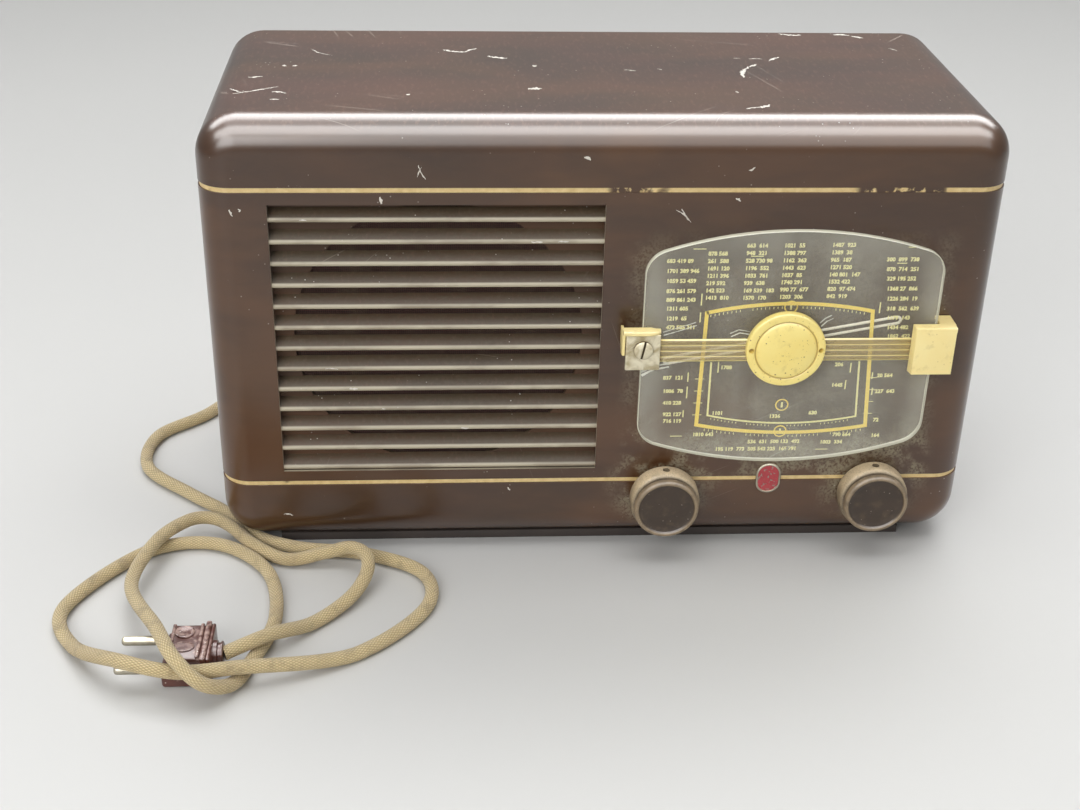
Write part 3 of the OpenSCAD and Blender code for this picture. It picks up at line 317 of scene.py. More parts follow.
class Shape:
    """Points and faces, in millimetres, that grow into one piece"""

    def __init__(self):
        self.points = []
        self.faces = []

    def loft(self, rings, last_cap=True):
        """Skins a row of rings that have the same number of points"""
        start, count = len(self.points), len(rings[0])
        self.points += [tuple(p) for ring in rings for p in ring]
        for a in range(start, start + (len(rings) - 1) * count, count):
            b = a + count
            self.faces += [(a + k, a + (k + 1) % count, b + (k + 1) % count, b + k) for k in range(count)]
        self.faces.append(tuple(range(start, start + count)))
        if last_cap:
            self.faces.append(tuple(range(len(self.points) - count, len(self.points))))
        return self

    def strip(self, pairs):
        """A flat band, from the pairs of points across it"""
        start = len(self.points)
        self.points += [p for pair in pairs for p in pair]
        self.faces += [(a, a + 1, a + 3, a + 2) for a in range(start, len(self.points) - 2, 2)]

    def box(self, low, high):
        (x0, y0, z0), (x1, y1, z1) = low, high
        return self.loft([[(x, y0, z0), (x, y1, z0), (x, y1, z1), (x, y0, z1)] for x in (x0, x1)])

    def turned(self, profile, at, along, sides=48):
        """Turns a profile of (radius, distance) round the line from at towards along"""
        line = Vector(along)
        side = line.orthogonal().normalized()
        other = line.cross(side)
        spokes = [side * math.cos(a) + other * math.sin(a) for a in angles(sides)]
        return self.loft([[Vector(at) + line * reach + spoke * max(radius, 0.01) for spoke in spokes]
                          for radius, reach in profile])

    def rod(self, radius, long, at, along, sides=32):
        return self.turned([(radius, 0), (radius, long)], at, along, sides)

    def piece(self, name, finish, bevel=0, rounds=3, sharp=35, cut=(), fold=30):
        """Makes the piece, takes the cutters out of it and rounds the edges that are sharper than fold"""
        mesh = bpy.data.meshes.new(name)
        mesh.from_pydata([Vector(p) * MM for p in self.points], [], self.faces)
        shape = bmesh.new()
        shape.from_mesh(mesh)
        bmesh.ops.remove_doubles(shape, verts=shape.verts, dist=0.01 * MM)
        bmesh.ops.recalc_face_normals(shape, faces=shape.faces)
        shape.to_mesh(mesh)
        shape.free()
        mesh.materials.append(finish.material)
        whole = placed(name, mesh)
        tools = [cutter.piece("cutter", finish) for cutter in cut]
        for tool in tools:
            step = whole.modifiers.new("cut", "BOOLEAN")
            step.operation, step.solver = "DIFFERENCE", "EXACT"
            step.use_self = True
            step.object = tool
        if cut:
            whole = settle(whole)
            for tool in tools:
                bpy.data.objects.remove(tool)
        if bevel:
            step = whole.modifiers.new("rounding", "BEVEL")
            step.width, step.segments, step.angle_limit = bevel * MM, rounds, math.radians(fold)
            whole = settle(whole)
        return smooth(whole, sharp)


def joined(name, *parts):
    """Joins finished parts into one piece"""
    whole = parts[0]
    with bpy.context.temp_override(active_object=whole, selected_editable_objects=list(parts)):
        bpy.ops.object.join()
    whole.name = whole.data.name = name
    return whole


def slotted_heads(name, spots, towards, radius, high, slot, turn, finish):
    """Slotted screw heads at the spots, with a shank behind each"""
    face = Vector(towards)
    side = Matrix.Rotation(turn, 3, face) @ face.orthogonal().normalized()
    across = face.cross(side)
    heads, slots = Shape(), Shape()
    for spot in spots:
        heads.turned([(radius * 0.4, -high), (radius * 0.45, 0), (radius, 0), (radius, high * 0.65),
                      (radius * 0.82, high * 0.94), (radius * 0.4, high)], spot, towards, 32)
        base = Vector(spot) + face * (high - slot)
        square = [base + side * (radius * 1.3 * a) + across * (slot * 0.55 * b)
                  for a, b in ((-1, -1), (1, -1), (1, 1), (-1, 1))]
        slots.loft([square, [p + face * (slot * 3) for p in square]])
    return heads.piece(name, finish, cut=[slots], sharp=30)


plug_moulding = Finish("red_brown_moulding")
specks = plug_moulding.cells(420).step(0.16, 0.1) * plug_moulding.cloud(190).step(0.5, 0.62)
on_ribs = plug_moulding.millimetres()[2].step(13.95, 14.5)
rubbed = plug_moulding.cloud(260, 5).step(0.56, 0.68) * 0.5
rubbed = rubbed.most(on_ribs * plug_moulding.cloud(420, 4).step(0.4, 0.62) * 0.8)
marbled = plug_moulding.cloud(140, 5, bend=1.5).mix((66, 33, 27), (112, 64, 54))
plug_moulding.surface(layers(marbled, (rubbed, (184, 152, 140)), (specks, (226, 216, 204))),
                      0.32 + rubbed * 0.5, specks * 0.5 + rubbed * 0.3, 0.00012, coat=0.25)

plug_place = Matrix.Translation(Vector((-184, -153.5, 0)) * MM)
pins_high, hole = 7.5, (8, 6)
body = Shape().box((0, -12.5, 0), (16.2, 12.5, 9.6))
well = Shape().rod(2.7, 8, (*hole, 11), upwards)
top_half = Shape().box((2.6, -11.4, 9.2), (16.2, 11.4, 13.9))
ribs = Shape().box((2.6, -11.2, 9), (4.1, 11.2, 14.7)).box((14, -11.2, 9), (15.5, 11.2, 14.9))
grip = Shape().box((16, -13, 0), (18.3, 13, 15)).box((18.2, -12.2, 0.4), (20, 12.2, 14.2))
neck = Shape().turned([(2, 0), (5.6, 0), (5.6, 1.6), (4.6, 2), (4.6, 3), (5.2, 3.2), (5.2, 3.7), (4.7, 4), (3.1, 4)],
                      (20, 0, pins_high), to_right, 32)
rings = Shape().turned([(2.9, 0), (4.2, 0), (4, 0.8), (3.5, 1.1), (3, 0.8)], (*hole, 13.8), upwards, 32)
oval = Shape().loft([[(8.6 + (4.4 - g) * math.cos(a), (3.4 - g) * math.sin(a) - 3.6, z) for a in angles(40)]
                     for g, z in ((0, 13.5), (0, 14.3), (0.3, 14.5), (0.7, 14.5), (0.9, 14.2))])
plug = joined("plug_body", *(shape.piece("plug_part", plug_moulding, rounded, cut=cuts) for shape, rounded, cuts in (
    (body, 1.4, ()), (top_half, 0.9, [well]), (ribs, 0.5, ()), (grip, 0.8, ()), (neck, 0, ()), (rings, 0, ()),
    (oval, 0, ()))))

pin_metal = Finish("tarnished_plating")
tarnish = pin_metal.cloud(220, 4)
pin_metal.surface(tarnish.mix((196, 190, 174), (124, 116, 98)), 0.32 + tarnish * 0.3,
                  pin_metal.cloud(900, 2, (0.1, 1, 1)), 0.00003, metal=1)
pins = Shape()
for y in (-9.5, 9.5):
    pins.turned([(2, 0), (2, 17.4), (1.8, 18.3), (1.2, 18.8), (0, 19)], (0, y, pins_high), (-1, 0, 0), 32)
pins = pins.piece("plug_pins", pin_metal, sharp=50)

screw_steel = Finish("tarnished_steel")
dirt = screw_steel.cloud(500, 4)
screw_steel.surface(dirt.mix((150, 142, 124), (82, 74, 62)), 0.45, dirt, 0.00003, metal=0.9)
plug_screw = slotted_heads("plug_screw", [(*hole, 12)], upwards, 2.5, 1, 0.7, 0.5, screw_steel)
for piece, slot, node in ((plug, "plug_moulding", "plug_body"), (pins, "pin_metal", "plug_pins"),
                          (plug_screw, "fastener_steel", "plug_screw")):
    piece.data.transform(plug_place)
    belongs(piece, slot, node)


# Case: one brown marbled moulding with rounded edges, open at the back. Louvres are moulded into its left
# half, and two painted lines run round it in shallow grooves. The gloss is worn, dusty and scratched.
front, back = -67, 67
case_wide, case_low, case_top = 340, 4, 205
corner, edge, wall = 18, 14, 4
upper_line, lower_line, line_wide = 175.8, 35.9, 2.3
grille_x, grille_z, grille_wide, grille_high = -71, 105.7, 140, 127.4
grille_left, grille_right = grille_x - grille_wide / 2, grille_x + grille_wide / 2
grille_low, grille_top = grille_z - grille_high / 2, grille_z + grille_high / 2
knob_spots = ((30.5, 29.4), (126.5, 29.4))
dial_x, dial_z = 80, 105
shaft_x, shaft_z = 78, 107.5


def case_ring(inset, y, rounds=12):
    """The case's outline, seen from the front, moved in by inset"""
    radius = corner - inset
    ring = []
    for n, (sx, sz) in enumerate(((1, 1), (-1, 1), (-1, -1), (1, -1))):
        middle_x = sx * (case_wide / 2 - corner)
        middle_z = case_top - corner if sz > 0 else case_low + corner
        for a in (math.pi / 2 * (n + k / rounds) for k in range(rounds + 1)):
            ring.append((middle_x + radius * math.cos(a), y, middle_z + radius * math.sin(a)))
    return ring


def rounded_edge(inset, y, radius, rounds=14):
    """Insets and depths round the face's edge"""
    return [(inset + radius * (1 - math.sin(a)), y + radius * (1 - math.cos(a)))
            for a in (math.pi / 2 * k / rounds for k in range(rounds + 1))]


def line_cutter(z):
    """A flat band round the face and the sides that takes out one groove"""
    loops = []
    for out in (2, -0.6):
        loop = [(-case_wide / 2 - out, back + 5)]
        for sx, start in ((-1, 180), (1, 270)):
            for a in (math.radians(start + 7.5 * k) for k in range(13)):
                loop.append((sx * (case_wide / 2 - edge) + (edge + out) * math.cos(a),
                             front + edge + (edge + out) * math.sin(a)))
        loops.append(loop + [(case_wide / 2 + out, back + 5)])
    band = loops[0] + loops[1][::-1]
    return Shape().loft([[(x, y, z + side * line_wide / 2) for x, y in band] for side in (-1, 1)])


shell = Shape().loft([case_ring(*p) for p in (
    (edge + 0.6, front), *rounded_edge(0, front, edge), (0, front + edge + 0.6), (0, back - 1), (0.3, back - 0.3),
    (1, back), (wall - 1, back), (wall - 0.3, back - 0.3), (wall, back - 1),
    *reversed(rounded_edge(wall, front + wall, edge - wall, 8)))])
pocket = Shape().box((grille_left, front - 3, grille_low), (grille_right, front + 7, grille_top))
for x, z in (*knob_spots, (shaft_x, shaft_z)):
    pocket.rod(5, 20, (x, front - 8, z), backwards)

# The moulding itself: dark brown with drifts of darker and redder brown. The louvres' noses are painted paler,
# partly wear and partly a painted highlight on their rounded fronts
moulding = Finish("brown_marbled_moulding")
cloud = moulding.cloud
x, y, z = moulding.millimetres()
_, to_y, to_z = moulding.facing()
on_top, on_face = to_z.step(0.6, 0.95), abs(to_y).step(0.5, 0.9)
# The top gets more of the redder drifts and a paler fine mottle: partly the moulding's own mottling, partly painted
# light on the top
brown = layers(cloud(24, 3, (0.35, 1, 1), 0.4).step(0.35, 0.68).mix((50, 29, 13), (80, 50, 24)),
               (cloud(160, 4, (0.3, 1, 1), 0.8) * 0.3, (100, 68, 34)),
               (cloud(15, 3, (0.55, 1, 1), 0.3).step(0.36, 0.72) * (on_top * 0.36 + 0.08), (100, 56, 41)),
               (cloud(620, 4, (1, 0.3, 1)).step(0.5, 0.72) * on_top * 0.3, (132, 96, 80)))

# Dust lies on the louvres, round the knobs and below the glass
in_grille = ((abs(x - grille_x) < grille_wide / 2 + 0.1).least(abs(z - grille_z) < grille_high / 2 + 0.1)
             * (y > front + 0.25))
# Louvres' noses: painted pale, partly wear and partly a painted highlight on their rounded fronts
nose = y.step(front + 2, front + 1.1) * in_grille
lint, chipped = cloud(700, 4, (0.5, 1, 1)), cloud(70, 4, (0.4, 1, 1)).step(0.36, 0.56)
near_knobs = 0
for knob_x, knob_z in knob_spots:
    ends = {0: moulding.place, 1: (knob_x * MM, front * MM, (knob_z + 5) * MM)}
    gap = moulding.node("VectorMath", ends, "Value", operation="DISTANCE") * 1000
    near_knobs = gap.step(30, 15) + near_knobs
under_glass = (abs(x - dial_x - 2).step(74, 56) * z.step(33, 42) * z.step(66, 46)
               + abs(x - dial_x).step(74, 66) * abs(z - dial_z + 10).step(66, 50) * 0.4)
dusty = to_y.step(-0.5, -0.95) * (near_knobs + under_glass).least(1) * (y < front + 2)
clots = cloud(85, 5).step(0.38, 0.62) * cloud(900, 3).step(0.3, 0.6)

face_marks = moulding.scratches(60, 0.008, ((0.4, 1), (1.9, 0.8)), 0.52) * on_face
top_marks = moulding.scratches(52, 0.01, ((0.3, 1), (1.25, 0.7), (2.4, 0.9)), 0.5, False) * on_top
marks = (face_marks * 0.4 + top_marks * 0.7).least(1)
pin_spots = moulding.cells(260).step(0.1, 0.06) * cloud(36).step(0.5, 0.6) * (on_top * 0.8 + on_face * 0.3)

# The painted lines, worn off where hands and cloths have rubbed them
in_line = ((abs(z - upper_line) < line_wide / 2 - 0.05).most(abs(z - lower_line) < line_wide / 2 - 0.05)
           * (abs(to_z) < 0.75) * (y < back - 1))
worn = cloud(60, 4, (0.5, 1, 1)).step(0.61, 0.67)
for low, high in ((0, 18), (104, 142)):
    near = abs(x - (low + high) / 2).step((high - low) / 2 + 2, (high - low) / 2 - 2)
    worn = worn.most(near * (z > 100) * (y < front + 5) * cloud(240, 3).step(0.4, 0.52))
gold = in_line * (1 - worn)
brown = layers(brown, (in_grille * to_z.step(0.2, 0.7) * (lint * 0.9 + 0.1), (88, 79, 59)),
               (nose * (chipped * 0.35 + 0.5), (184, 174, 150)), (dusty * clots * 0.62, (146, 138, 112)),
               (marks * 0.45, (170, 156, 140)), (pin_spots, (214, 206, 194)),
               (gold, cloud(300).mix((196, 162, 98), (246, 222, 162))))
moulding.surface(brown, 0.3 + marks * 0.25 + dusty * clots * 0.4 + in_grille * 0.35 + gold * 0.15,
                 0.5 - marks * 0.25 + pin_spots * 0.3 + clots * dusty * 0.4, 0.00012,
                 coat=0.45 - (dusty * clots * 0.45).most(in_grille * 0.45).least(0.45),
                 Coat_Roughness=0.2, IOR=1.5, Coat_IOR=1.5)


def flat_shaded(piece):
    """Keeps large flat faces flat next to small round ones"""
    step = piece.modifiers.new("flats", "WEIGHTED_NORMAL")
    step.keep_sharp = True
    step.weight = 80
    return settle(piece)


grooves = [line_cutter(z) for z in (upper_line, lower_line)]
case_shell = flat_shaded(shell.piece("case_shell", moulding, sharp=40, cut=[pocket, *grooves]))
frame_hole = Shape().box((grille_left, front, grille_low), (grille_right, front + 7, grille_top))
frame_hole.rod(62.5, 12, (grille_x, front + 1, grille_z), backwards, 96)
frame_round = Shape().box((grille_left - 3, front + 3.5, grille_low - 3),
                          (grille_right + 3, front + 9, grille_top + 3))
grille_frame = frame_round.piece("grille_frame", moulding, cut=[frame_hole])

# Louvres: thirteen slats across the opening, moulded in one with the case. Each has a rounded nose and rises
# to its root. Posts behind them carry the baffle, and posts in the corners take the rear cover's screws.
louvre_count, louvre_pitch = 13, 9.9
in_row = Recipe("repeat_in_a_row", Count="Int", Step="Vector")
spots = in_row.node("MeshLine", {"Count": in_row["Count"], "Offset": in_row["Step"]}, mode="OFFSET")
in_row.end(in_row.node("InstanceOnPoints", {0: spots, "Instance": in_row["Shape"]}))
slat_line = ((7.4, 47.35), (4, 45.85), (1.6, 44.62), (1.1, 44.45), (0.8, 44.05), (0.75, 43.6), (0.8, 43.15),
             (1.1, 42.75), (1.6, 42.6), (4, 42.9), (7.4, 45.2))
slat = Shape().loft([[(x, front + y, z) for y, z in slat_line] for x in (-141.3, -106, -71, -36, -0.7)])
louvres = in_row.make(slat.piece("louvres", moulding), moulding, Count=louvre_count, Step=(0, 0, louvre_pitch * MM))
posts = Shape()
for sx in (-1, 1):
    for sz in (-1, 1):
        posts.rod(4.5, 5.6, (grille_x + sx * 75, front + 3.5, grille_z + sz * 68.7), backwards, 24)
    for z in (45, 165):
        posts.rod(5, 15, (sx * 162, 48, z), backwards, 24)

# Specks and smears of old white paint, and small chips that show the moulding's pale filler: flat scabs, each
# with a ragged edge, on the top, the face and the louvres' noses
splashes = Shape()
drips = random.Random(11)


def splash(a0, b0, a1, b1, wide, place):
    """A ragged smear along a short line; place turns its two numbers into a point"""
    run, rise = a1 - a0, b1 - b0
    span = max(math.hypot(run, rise), 0.01)
    count = max(4, int(span / 0.7))
    bow = drips.uniform(-0.12, 0.12) * span
    pairs = []
    for t in (k / count for k in range(count + 1)):
        thick = wide * (math.sin(math.pi * min(max(t, 0.06), 0.94)) ** 0.5) * drips.uniform(0.35, 1.25)
        drift = drips.uniform(-0.45, 0.45) * wide + math.sin(math.pi * t) * bow
        pairs.append([place(a0 + run * t - rise / span * off, b0 + rise * t + run / span * off)
                      for off in (drift - thick, drift + thick)])
    splashes.strip(pairs)


for place, smears in (
        (lambda a, b: (a, b, case_top + 0.03), (
            (-156, -31, -138, -21, 0.55), (-152, -8, -146, -6.5, 0.9), (-140, -28, -134, -30, 0.8),
            (-158, -24, -152, -30, 0.5), (-140, -38, -136, -38, 0.6), (-68, 35, -58, 31, 1.1), (-58, 31, -53, 37, 0.7),
            (-48, 25, -39.5, 21.6, 1.2), (-32, -23, -26, -23, 1.6), (-28.5, 11, -26.5, 10, 1.2), (-139, 9, -137, 9, 1),
            (-134.5, 9, -132.5, 9, 0.9), (64, -6, 69, 10, 1), (69, 10, 73, 13.4, 0.9), (64, 23, 67, 22.8, 0.4),
            (71, 22.4, 77, 22, 0.4), (79.6, 19, 85.6, 25, 1), (57.6, -49.4, 64, -47, 0.6), (64, -48, 68.5, -43.8, 1.3),
            (92.4, 64, 103, 61.8, 1), (119, 63, 126.5, 62, 1.1), (127, 60.4, 132, 57, 0.9),
            (-128, 35, -118, 25.4, 0.35), (12, 4.6, 17, 3, 0.4), (57, -26, 58, -27.5, 0.9),
            (-83.5, -31, -82.4, -32, 0.8), (27, 6.4, 29, 4.8, 0.4), (140, 40, 143, 36, 0.4))),
        (lambda a, b: (a, front - 0.03, b), (
            (-78.5, 186.8, -75.6, 180.7, 0.3), (-77.2, 186, -79, 181.6, 0.25), (28.3, 167.2, 34.9, 161.7, 0.3),
            (30.5, 167.6, 33.7, 162.5, 0.3), (57.4, 184.5, 59.9, 186, 0.4), (-94.6, 173.1, -94, 170, 0.6),
            (-11, 190, -8.2, 189, 0.6), (53, 172.3, 55.2, 171, 0.5), (-156, 167.6, -155, 164.7, 0.5),
            (-152.3, 168, -151.7, 166.6, 0.6), (-40.5, 32.5, -39.5, 30.8, 0.4), (-142.4, 19.4, -138.2, 18.6, 0.4))),
        (lambda a, b: (a, front + 0.7, b), (
            (-31.8, 152.6, -27.1, 152.7, 0.5), (-110.4, 83.3, -106.7, 83.4, 0.6), (-120.4, 93.2, -114.8, 93.1, 0.25),
            (-20.6, 152.6, -16.1, 152.6, 0.35), (-128, 162.5, -125, 162.5, 0.35), (-61.6, 63.4, -58.2, 63.4, 0.4),
            (-96.5, 73.3, -94.8, 73.3, 0.35)))):
    for smear in smears:
        splash(*smear, place)
old_paint = Finish("white_paint_specks")
paint_dirt = old_paint.cloud(900, 4)
old_paint.surface(paint_dirt.mix((236, 232, 222), (186, 178, 164)), 0.7, paint_dirt, 0.0001)
scabs = splashes.piece("paint_specks", old_paint, sharp=60)
case = joined("case", case_shell, grille_frame, smooth(louvres, 40), posts.piece("posts", moulding), scabs)
belongs(case, "case_moulding", "cabinet")

# Plinth: a plain dark slab, 4 mm high, that lifts the case off the table. Four wells in it make room for the
# heads of the bolts that hold the chassis.
under = Finish("dark_plinth")
under.surface(under.cloud(60, 4).mix((30, 23, 19), (52, 41, 34)), 0.7, under.cloud(800, 3), 0.0001)
wells = Shape()
for x in (-140, 140):
    for y in (-30, 45):
        wells.rod(6, 8, (x, y, -2), upwards)
plinth = Shape().box((-145, -59, 0), (145, 59, 4)).piece("plinth", under, 0.5, 2, cut=[wells])
belongs(plinth, "plinth_moulding", "base_plinth")


# Badge: a small oval plate on the front, red enamel in a plated rim. The enamel has lost its shine and is
# chipped. It carries no mark.
badge_x, badge_z, badge_r, badge_half = 78.7, 36.2, 5.7, 2


def badge_rings(*steps):
    """Ovals, each moved in by an inset and set at a depth in front of the case"""
    return Shape().loft([[(badge_x + (badge_r - inset) * math.cos(a), front - proud,
                           badge_z + math.copysign(badge_half, math.sin(a)) + (badge_r - inset) * math.sin(a))
                          for a in angles(48)] for inset, proud in steps])


enamel = Finish("chipped_enamel")
chips = enamel.cloud(700, 4).step(0.58, 0.64)
faded = enamel.cloud(260, 4).mix((136, 34, 40), (196, 62, 70))
enamel.surface(chips.mix(faded, (150, 128, 118)), 0.3 + chips * 0.4, 1 - chips, 0.0002, coat=0.3)
rim = badge_rings((0.2, 0), (0, 0.3), (0, 0.95), (0.25, 1.2), (0.8, 1.2), (1, 0.8), (1.05, 0.3))
plate = badge_rings((0.9, 0.1), (0.95, 0.85), (1.6, 0.98), (3.2, 1.08), (5, 1.12))
badge = joined("badge", rim.piece("rim", pin_metal, sharp=50), plate.piece("plate", enamel, sharp=50))
belongs(badge, "badge_enamel", "badge")


# Pointer: a narrow loop of wire, painted cream, that is fixed on the dial's shaft behind the glass. Some of
# its paint has come off.
def dress(finish, *nodes):
    """Gives CAD nodes whose shape is right their finish"""
    for name in nodes:
        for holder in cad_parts[name].material_slots:
            holder.material = finish.material


wire_paint = Finish("old_cream_paint")
bare = wire_paint.cloud(900, 3).step(0.6, 0.68)
wire_paint.surface(bare.mix((244, 238, 214), (170, 160, 138)), 0.5, 1 - bare, 0.00005)
dress(wire_paint, "pointer")

# Dial glass: thick plate with ground edges, its top and bottom bowed, clouded with dust and scratched.
# Tracks and rows of plain numbers are printed on its back in cream and yellow.
bow_r, bow_low, glass_corner = 179, 123.2, 12
corner_x, corner_z, bow_turn = 52, 35.5, 71.86
strap_z, clip_reach, clip_z = 105.8, 63.6, 107.3


def glass_ring(inset, y):
    """The glass's outline, moved in by inset"""
    arcs = []
    for n, (sx, sz) in enumerate(((1, 1), (-1, 1), (-1, -1), (1, -1))):
        start, end = ((0, bow_turn), (180 - bow_turn, 180), (180, 180 + bow_turn), (360 - bow_turn, 360))[n]
        arcs.append((sx * corner_x, sz * corner_z, glass_corner, start, end, 12))
        if n % 2 == 0:
            arcs.append((0, -sz * bow_low, bow_r, end, end + 180 - 2 * bow_turn, 20))
    return [(dial_x + cx + (r - inset) * math.cos(a), y, dial_z + cz + (r - inset) * math.sin(a))
            for cx, cz, r, start, end, count in arcs
            for a in (math.radians(start + (end - start) * k / count) for k in range(count + 1))]


clouded = Finish("clouded_glass")
x, y, z = clouded.millimetres()
to_y = clouded.facing()[1]
smear = clouded.cloud(26, 5, (1, 1, 0.5), 1.2)
dust = clouded.cloud(1100, 2).step(0.58, 0.75) * clouded.cloud(120, 4).step(0.4, 0.7)
rim_dust = abs(x - dial_x).step(50, 63).most(abs(z - dial_z).step(38, 54))
cracks = clouded.scratches(40, 0.006, ((0.5, 1), (2.0, 0.8)), 0.5) * 0.3
ragged = (clouded.cloud(420, 3) - 0.5) * 1.6
for x0, z0, x1, z1, wide in (
        (25.4, 113, 31.8, 115, 0.3), (31.8, 115, 39.1, 117.5, 0.25), (54.6, 112.2, 58.2, 113.9, 0.35),
        (58.2, 113.9, 63, 113, 0.35), (93.3, 117, 95.4, 119.2, 0.4), (95.4, 119.2, 97.9, 120.5, 0.3),
        (17, 93.8, 21.6, 96.4, 0.8), (21.6, 96.4, 28.2, 97.7, 0.5)):
    run, rise = x1 - x0, z1 - z0
    along = (((x - x0) * run + (z - z0) * rise) / (run * run + rise * rise)).least(1).most(0)
    off = ((x - x0 - along * run) ** 2 + (z - z0 - along * rise) ** 2) ** 0.5 + ragged * wide
    cracks = cracks.most(off.step(wide, wide * 0.4))
ground, in_front = abs(to_y).step(0.97, 0.85), to_y.step(0.2, -0.2)
haze = layers(smear.mix((184, 183, 170), (224, 223, 206)),
              (cracks.most(dust * 0.5), (236, 236, 222)), (ground, (222, 220, 198)))
veil = 0.08 + smear.step(0.35, 0.75) * 0.08 + rim_dust * 0.08 + dust * 0.08
veil = (veil * in_front + cracks * 0.6 * in_front + 0.03).most(ground * 0.85).least(1)
clouded.surface(haze, 0.12 + smear * 0.1 + dust * 0.25 + cracks * 0.3, smear + cracks, 0.00008, coat=0.3, alpha=veil)

glass = Shape().loft([glass_ring(*p) for p in ((0.7, -72), (0.2, -72.2), (0, -72.6),
                                               (0, -74.4), (0.2, -74.8), (0.7, -75))])
notches = Shape()
for side in (-1, 1):
    notches.rod(3.5, 8, (dial_x + side * clip_reach, -78, clip_z), backwards)
glass = flat_shaded(glass.piece("dial_glass", clouded, sharp=50, cut=[notches]))
belongs(glass, "dial_glass", "dial_glass")

print_y = -71.9
cream_print, yellow_print = Finish("cream_print"), Finish("yellow_print")
for ink, light, dark in ((cream_print, (255, 250, 178), (236, 224, 140)),
                         (yellow_print, (255, 232, 90), (255, 214, 74))):
    ink.surface(ink.cloud(420, 4).mix(light, dark), 0.6)
tracks, lines = Shape(), Shape()


def ribbon(shape, line, wide):
    """Adds a flat stroke along a line of (x, z) points, a hair behind the last one"""
    spots = [Vector((x, 0, z)) for x, z in line]
    sides = []
    for n, spot in enumerate(spots):
        before = (spot - spots[n - 1]).normalized() if n else (spots[1] - spot).normalized()
        after = (spots[n + 1] - spot).normalized() if n < len(spots) - 1 else before
        out = (before + after).normalized().cross(Vector(backwards))
        out *= wide / 2 / max(out.dot(after.cross(Vector(backwards))), 0.4)
        sides.append([(p.x, print_y + 0.0001 * len(shape.points), p.z) for p in (spot + out, spot - out)])
    shape.strip(sides)


def bowed(start, middle, end, count=20):
    """Points on the curve that runs from start to end through middle"""
    peak = [2 * m - (a + b) / 2 for a, m, b in zip(start, middle, end)]
    return [tuple((1 - t) ** 2 * a + 2 * t * (1 - t) * p + t * t * b for a, p, b in zip(start, peak, end))
            for t in (k / count for k in range(count + 1))]


outer_top = bowed((43.7, 122), (79.7, 126.2), (115.7, 122.4))
outer_low = bowed((119.1, 65.8), (80.9, 62.7), (42.8, 66.9))
inner_low = bowed((47.5, 71.7), (80.4, 67.5), (114.2, 70.6))
ribbon(tracks, outer_top + outer_low + [(43.75, 122.7)], 1.7)
ribbon(lines, [(47.3, 98.2)] + inner_low + [(112.7, 98.2)], 0.85)
for x, z in ((79.9, 124.6), (80.4, 76.7), (80.8, 63.3)):
    ring = [(x + 2.7 * math.cos(a), z + 2.7 * math.sin(a)) for a in (math.pi * k / 16 for k in range(33))]
    ribbon(tracks, ring + ring[1:2], 0.6)
    ribbon(lines, [(x, z - 1.3), (x, z + 1.3)], 0.9)
for line, drop, tall in ((outer_top, 1.3, 1.1), (outer_low, 1.3, 1.1), (inner_low, 1, 0.8)):
    for k in range(1, 20):
        (x, z), (x2, z2) = line[k], line[k - 1]
        for x, z in ((x, z), ((x + x2) / 2, (z + z2) / 2)):
            if abs(x - 80) > 3.5 and k % 5:
                ribbon(lines, [(x, z - drop - tall), (x, z - drop)], 0.3)
for x, low, high in (
        (41, 125.5, 131), (41, 117.5, 122.2), (37.6, 88.6, 93.2), (37.6, 80.4, 86.2), (36.6, 70.8, 74.4),
        (50.6, 93, 98.4), (109.2, 92.6, 97.4), (107.8, 84.3, 88.9), (118.6, 121.4, 126.6), (119.3, 89.3, 92.6),
        (120.2, 81.4, 84.9)):
    ribbon(lines, [(x, low), (x, high)], 0.55)
for x, z, x2 in ((36, 151.6, 41.4), (31.4, 61.2, 36.8), (127.4, 152.2, 131), (97.8, 53.7, 103.4),
                 (123.4, 144.8, 127.8), (60.6, 148.2, 66)):
    ribbon(lines, [(x, z), (x2, z)], 0.4)
for x in (42.8, 119.4):
    for z in (72, 78, 84, 90):
        ribbon(lines, [(x - 2, z), (x + 2, z)], 0.35)

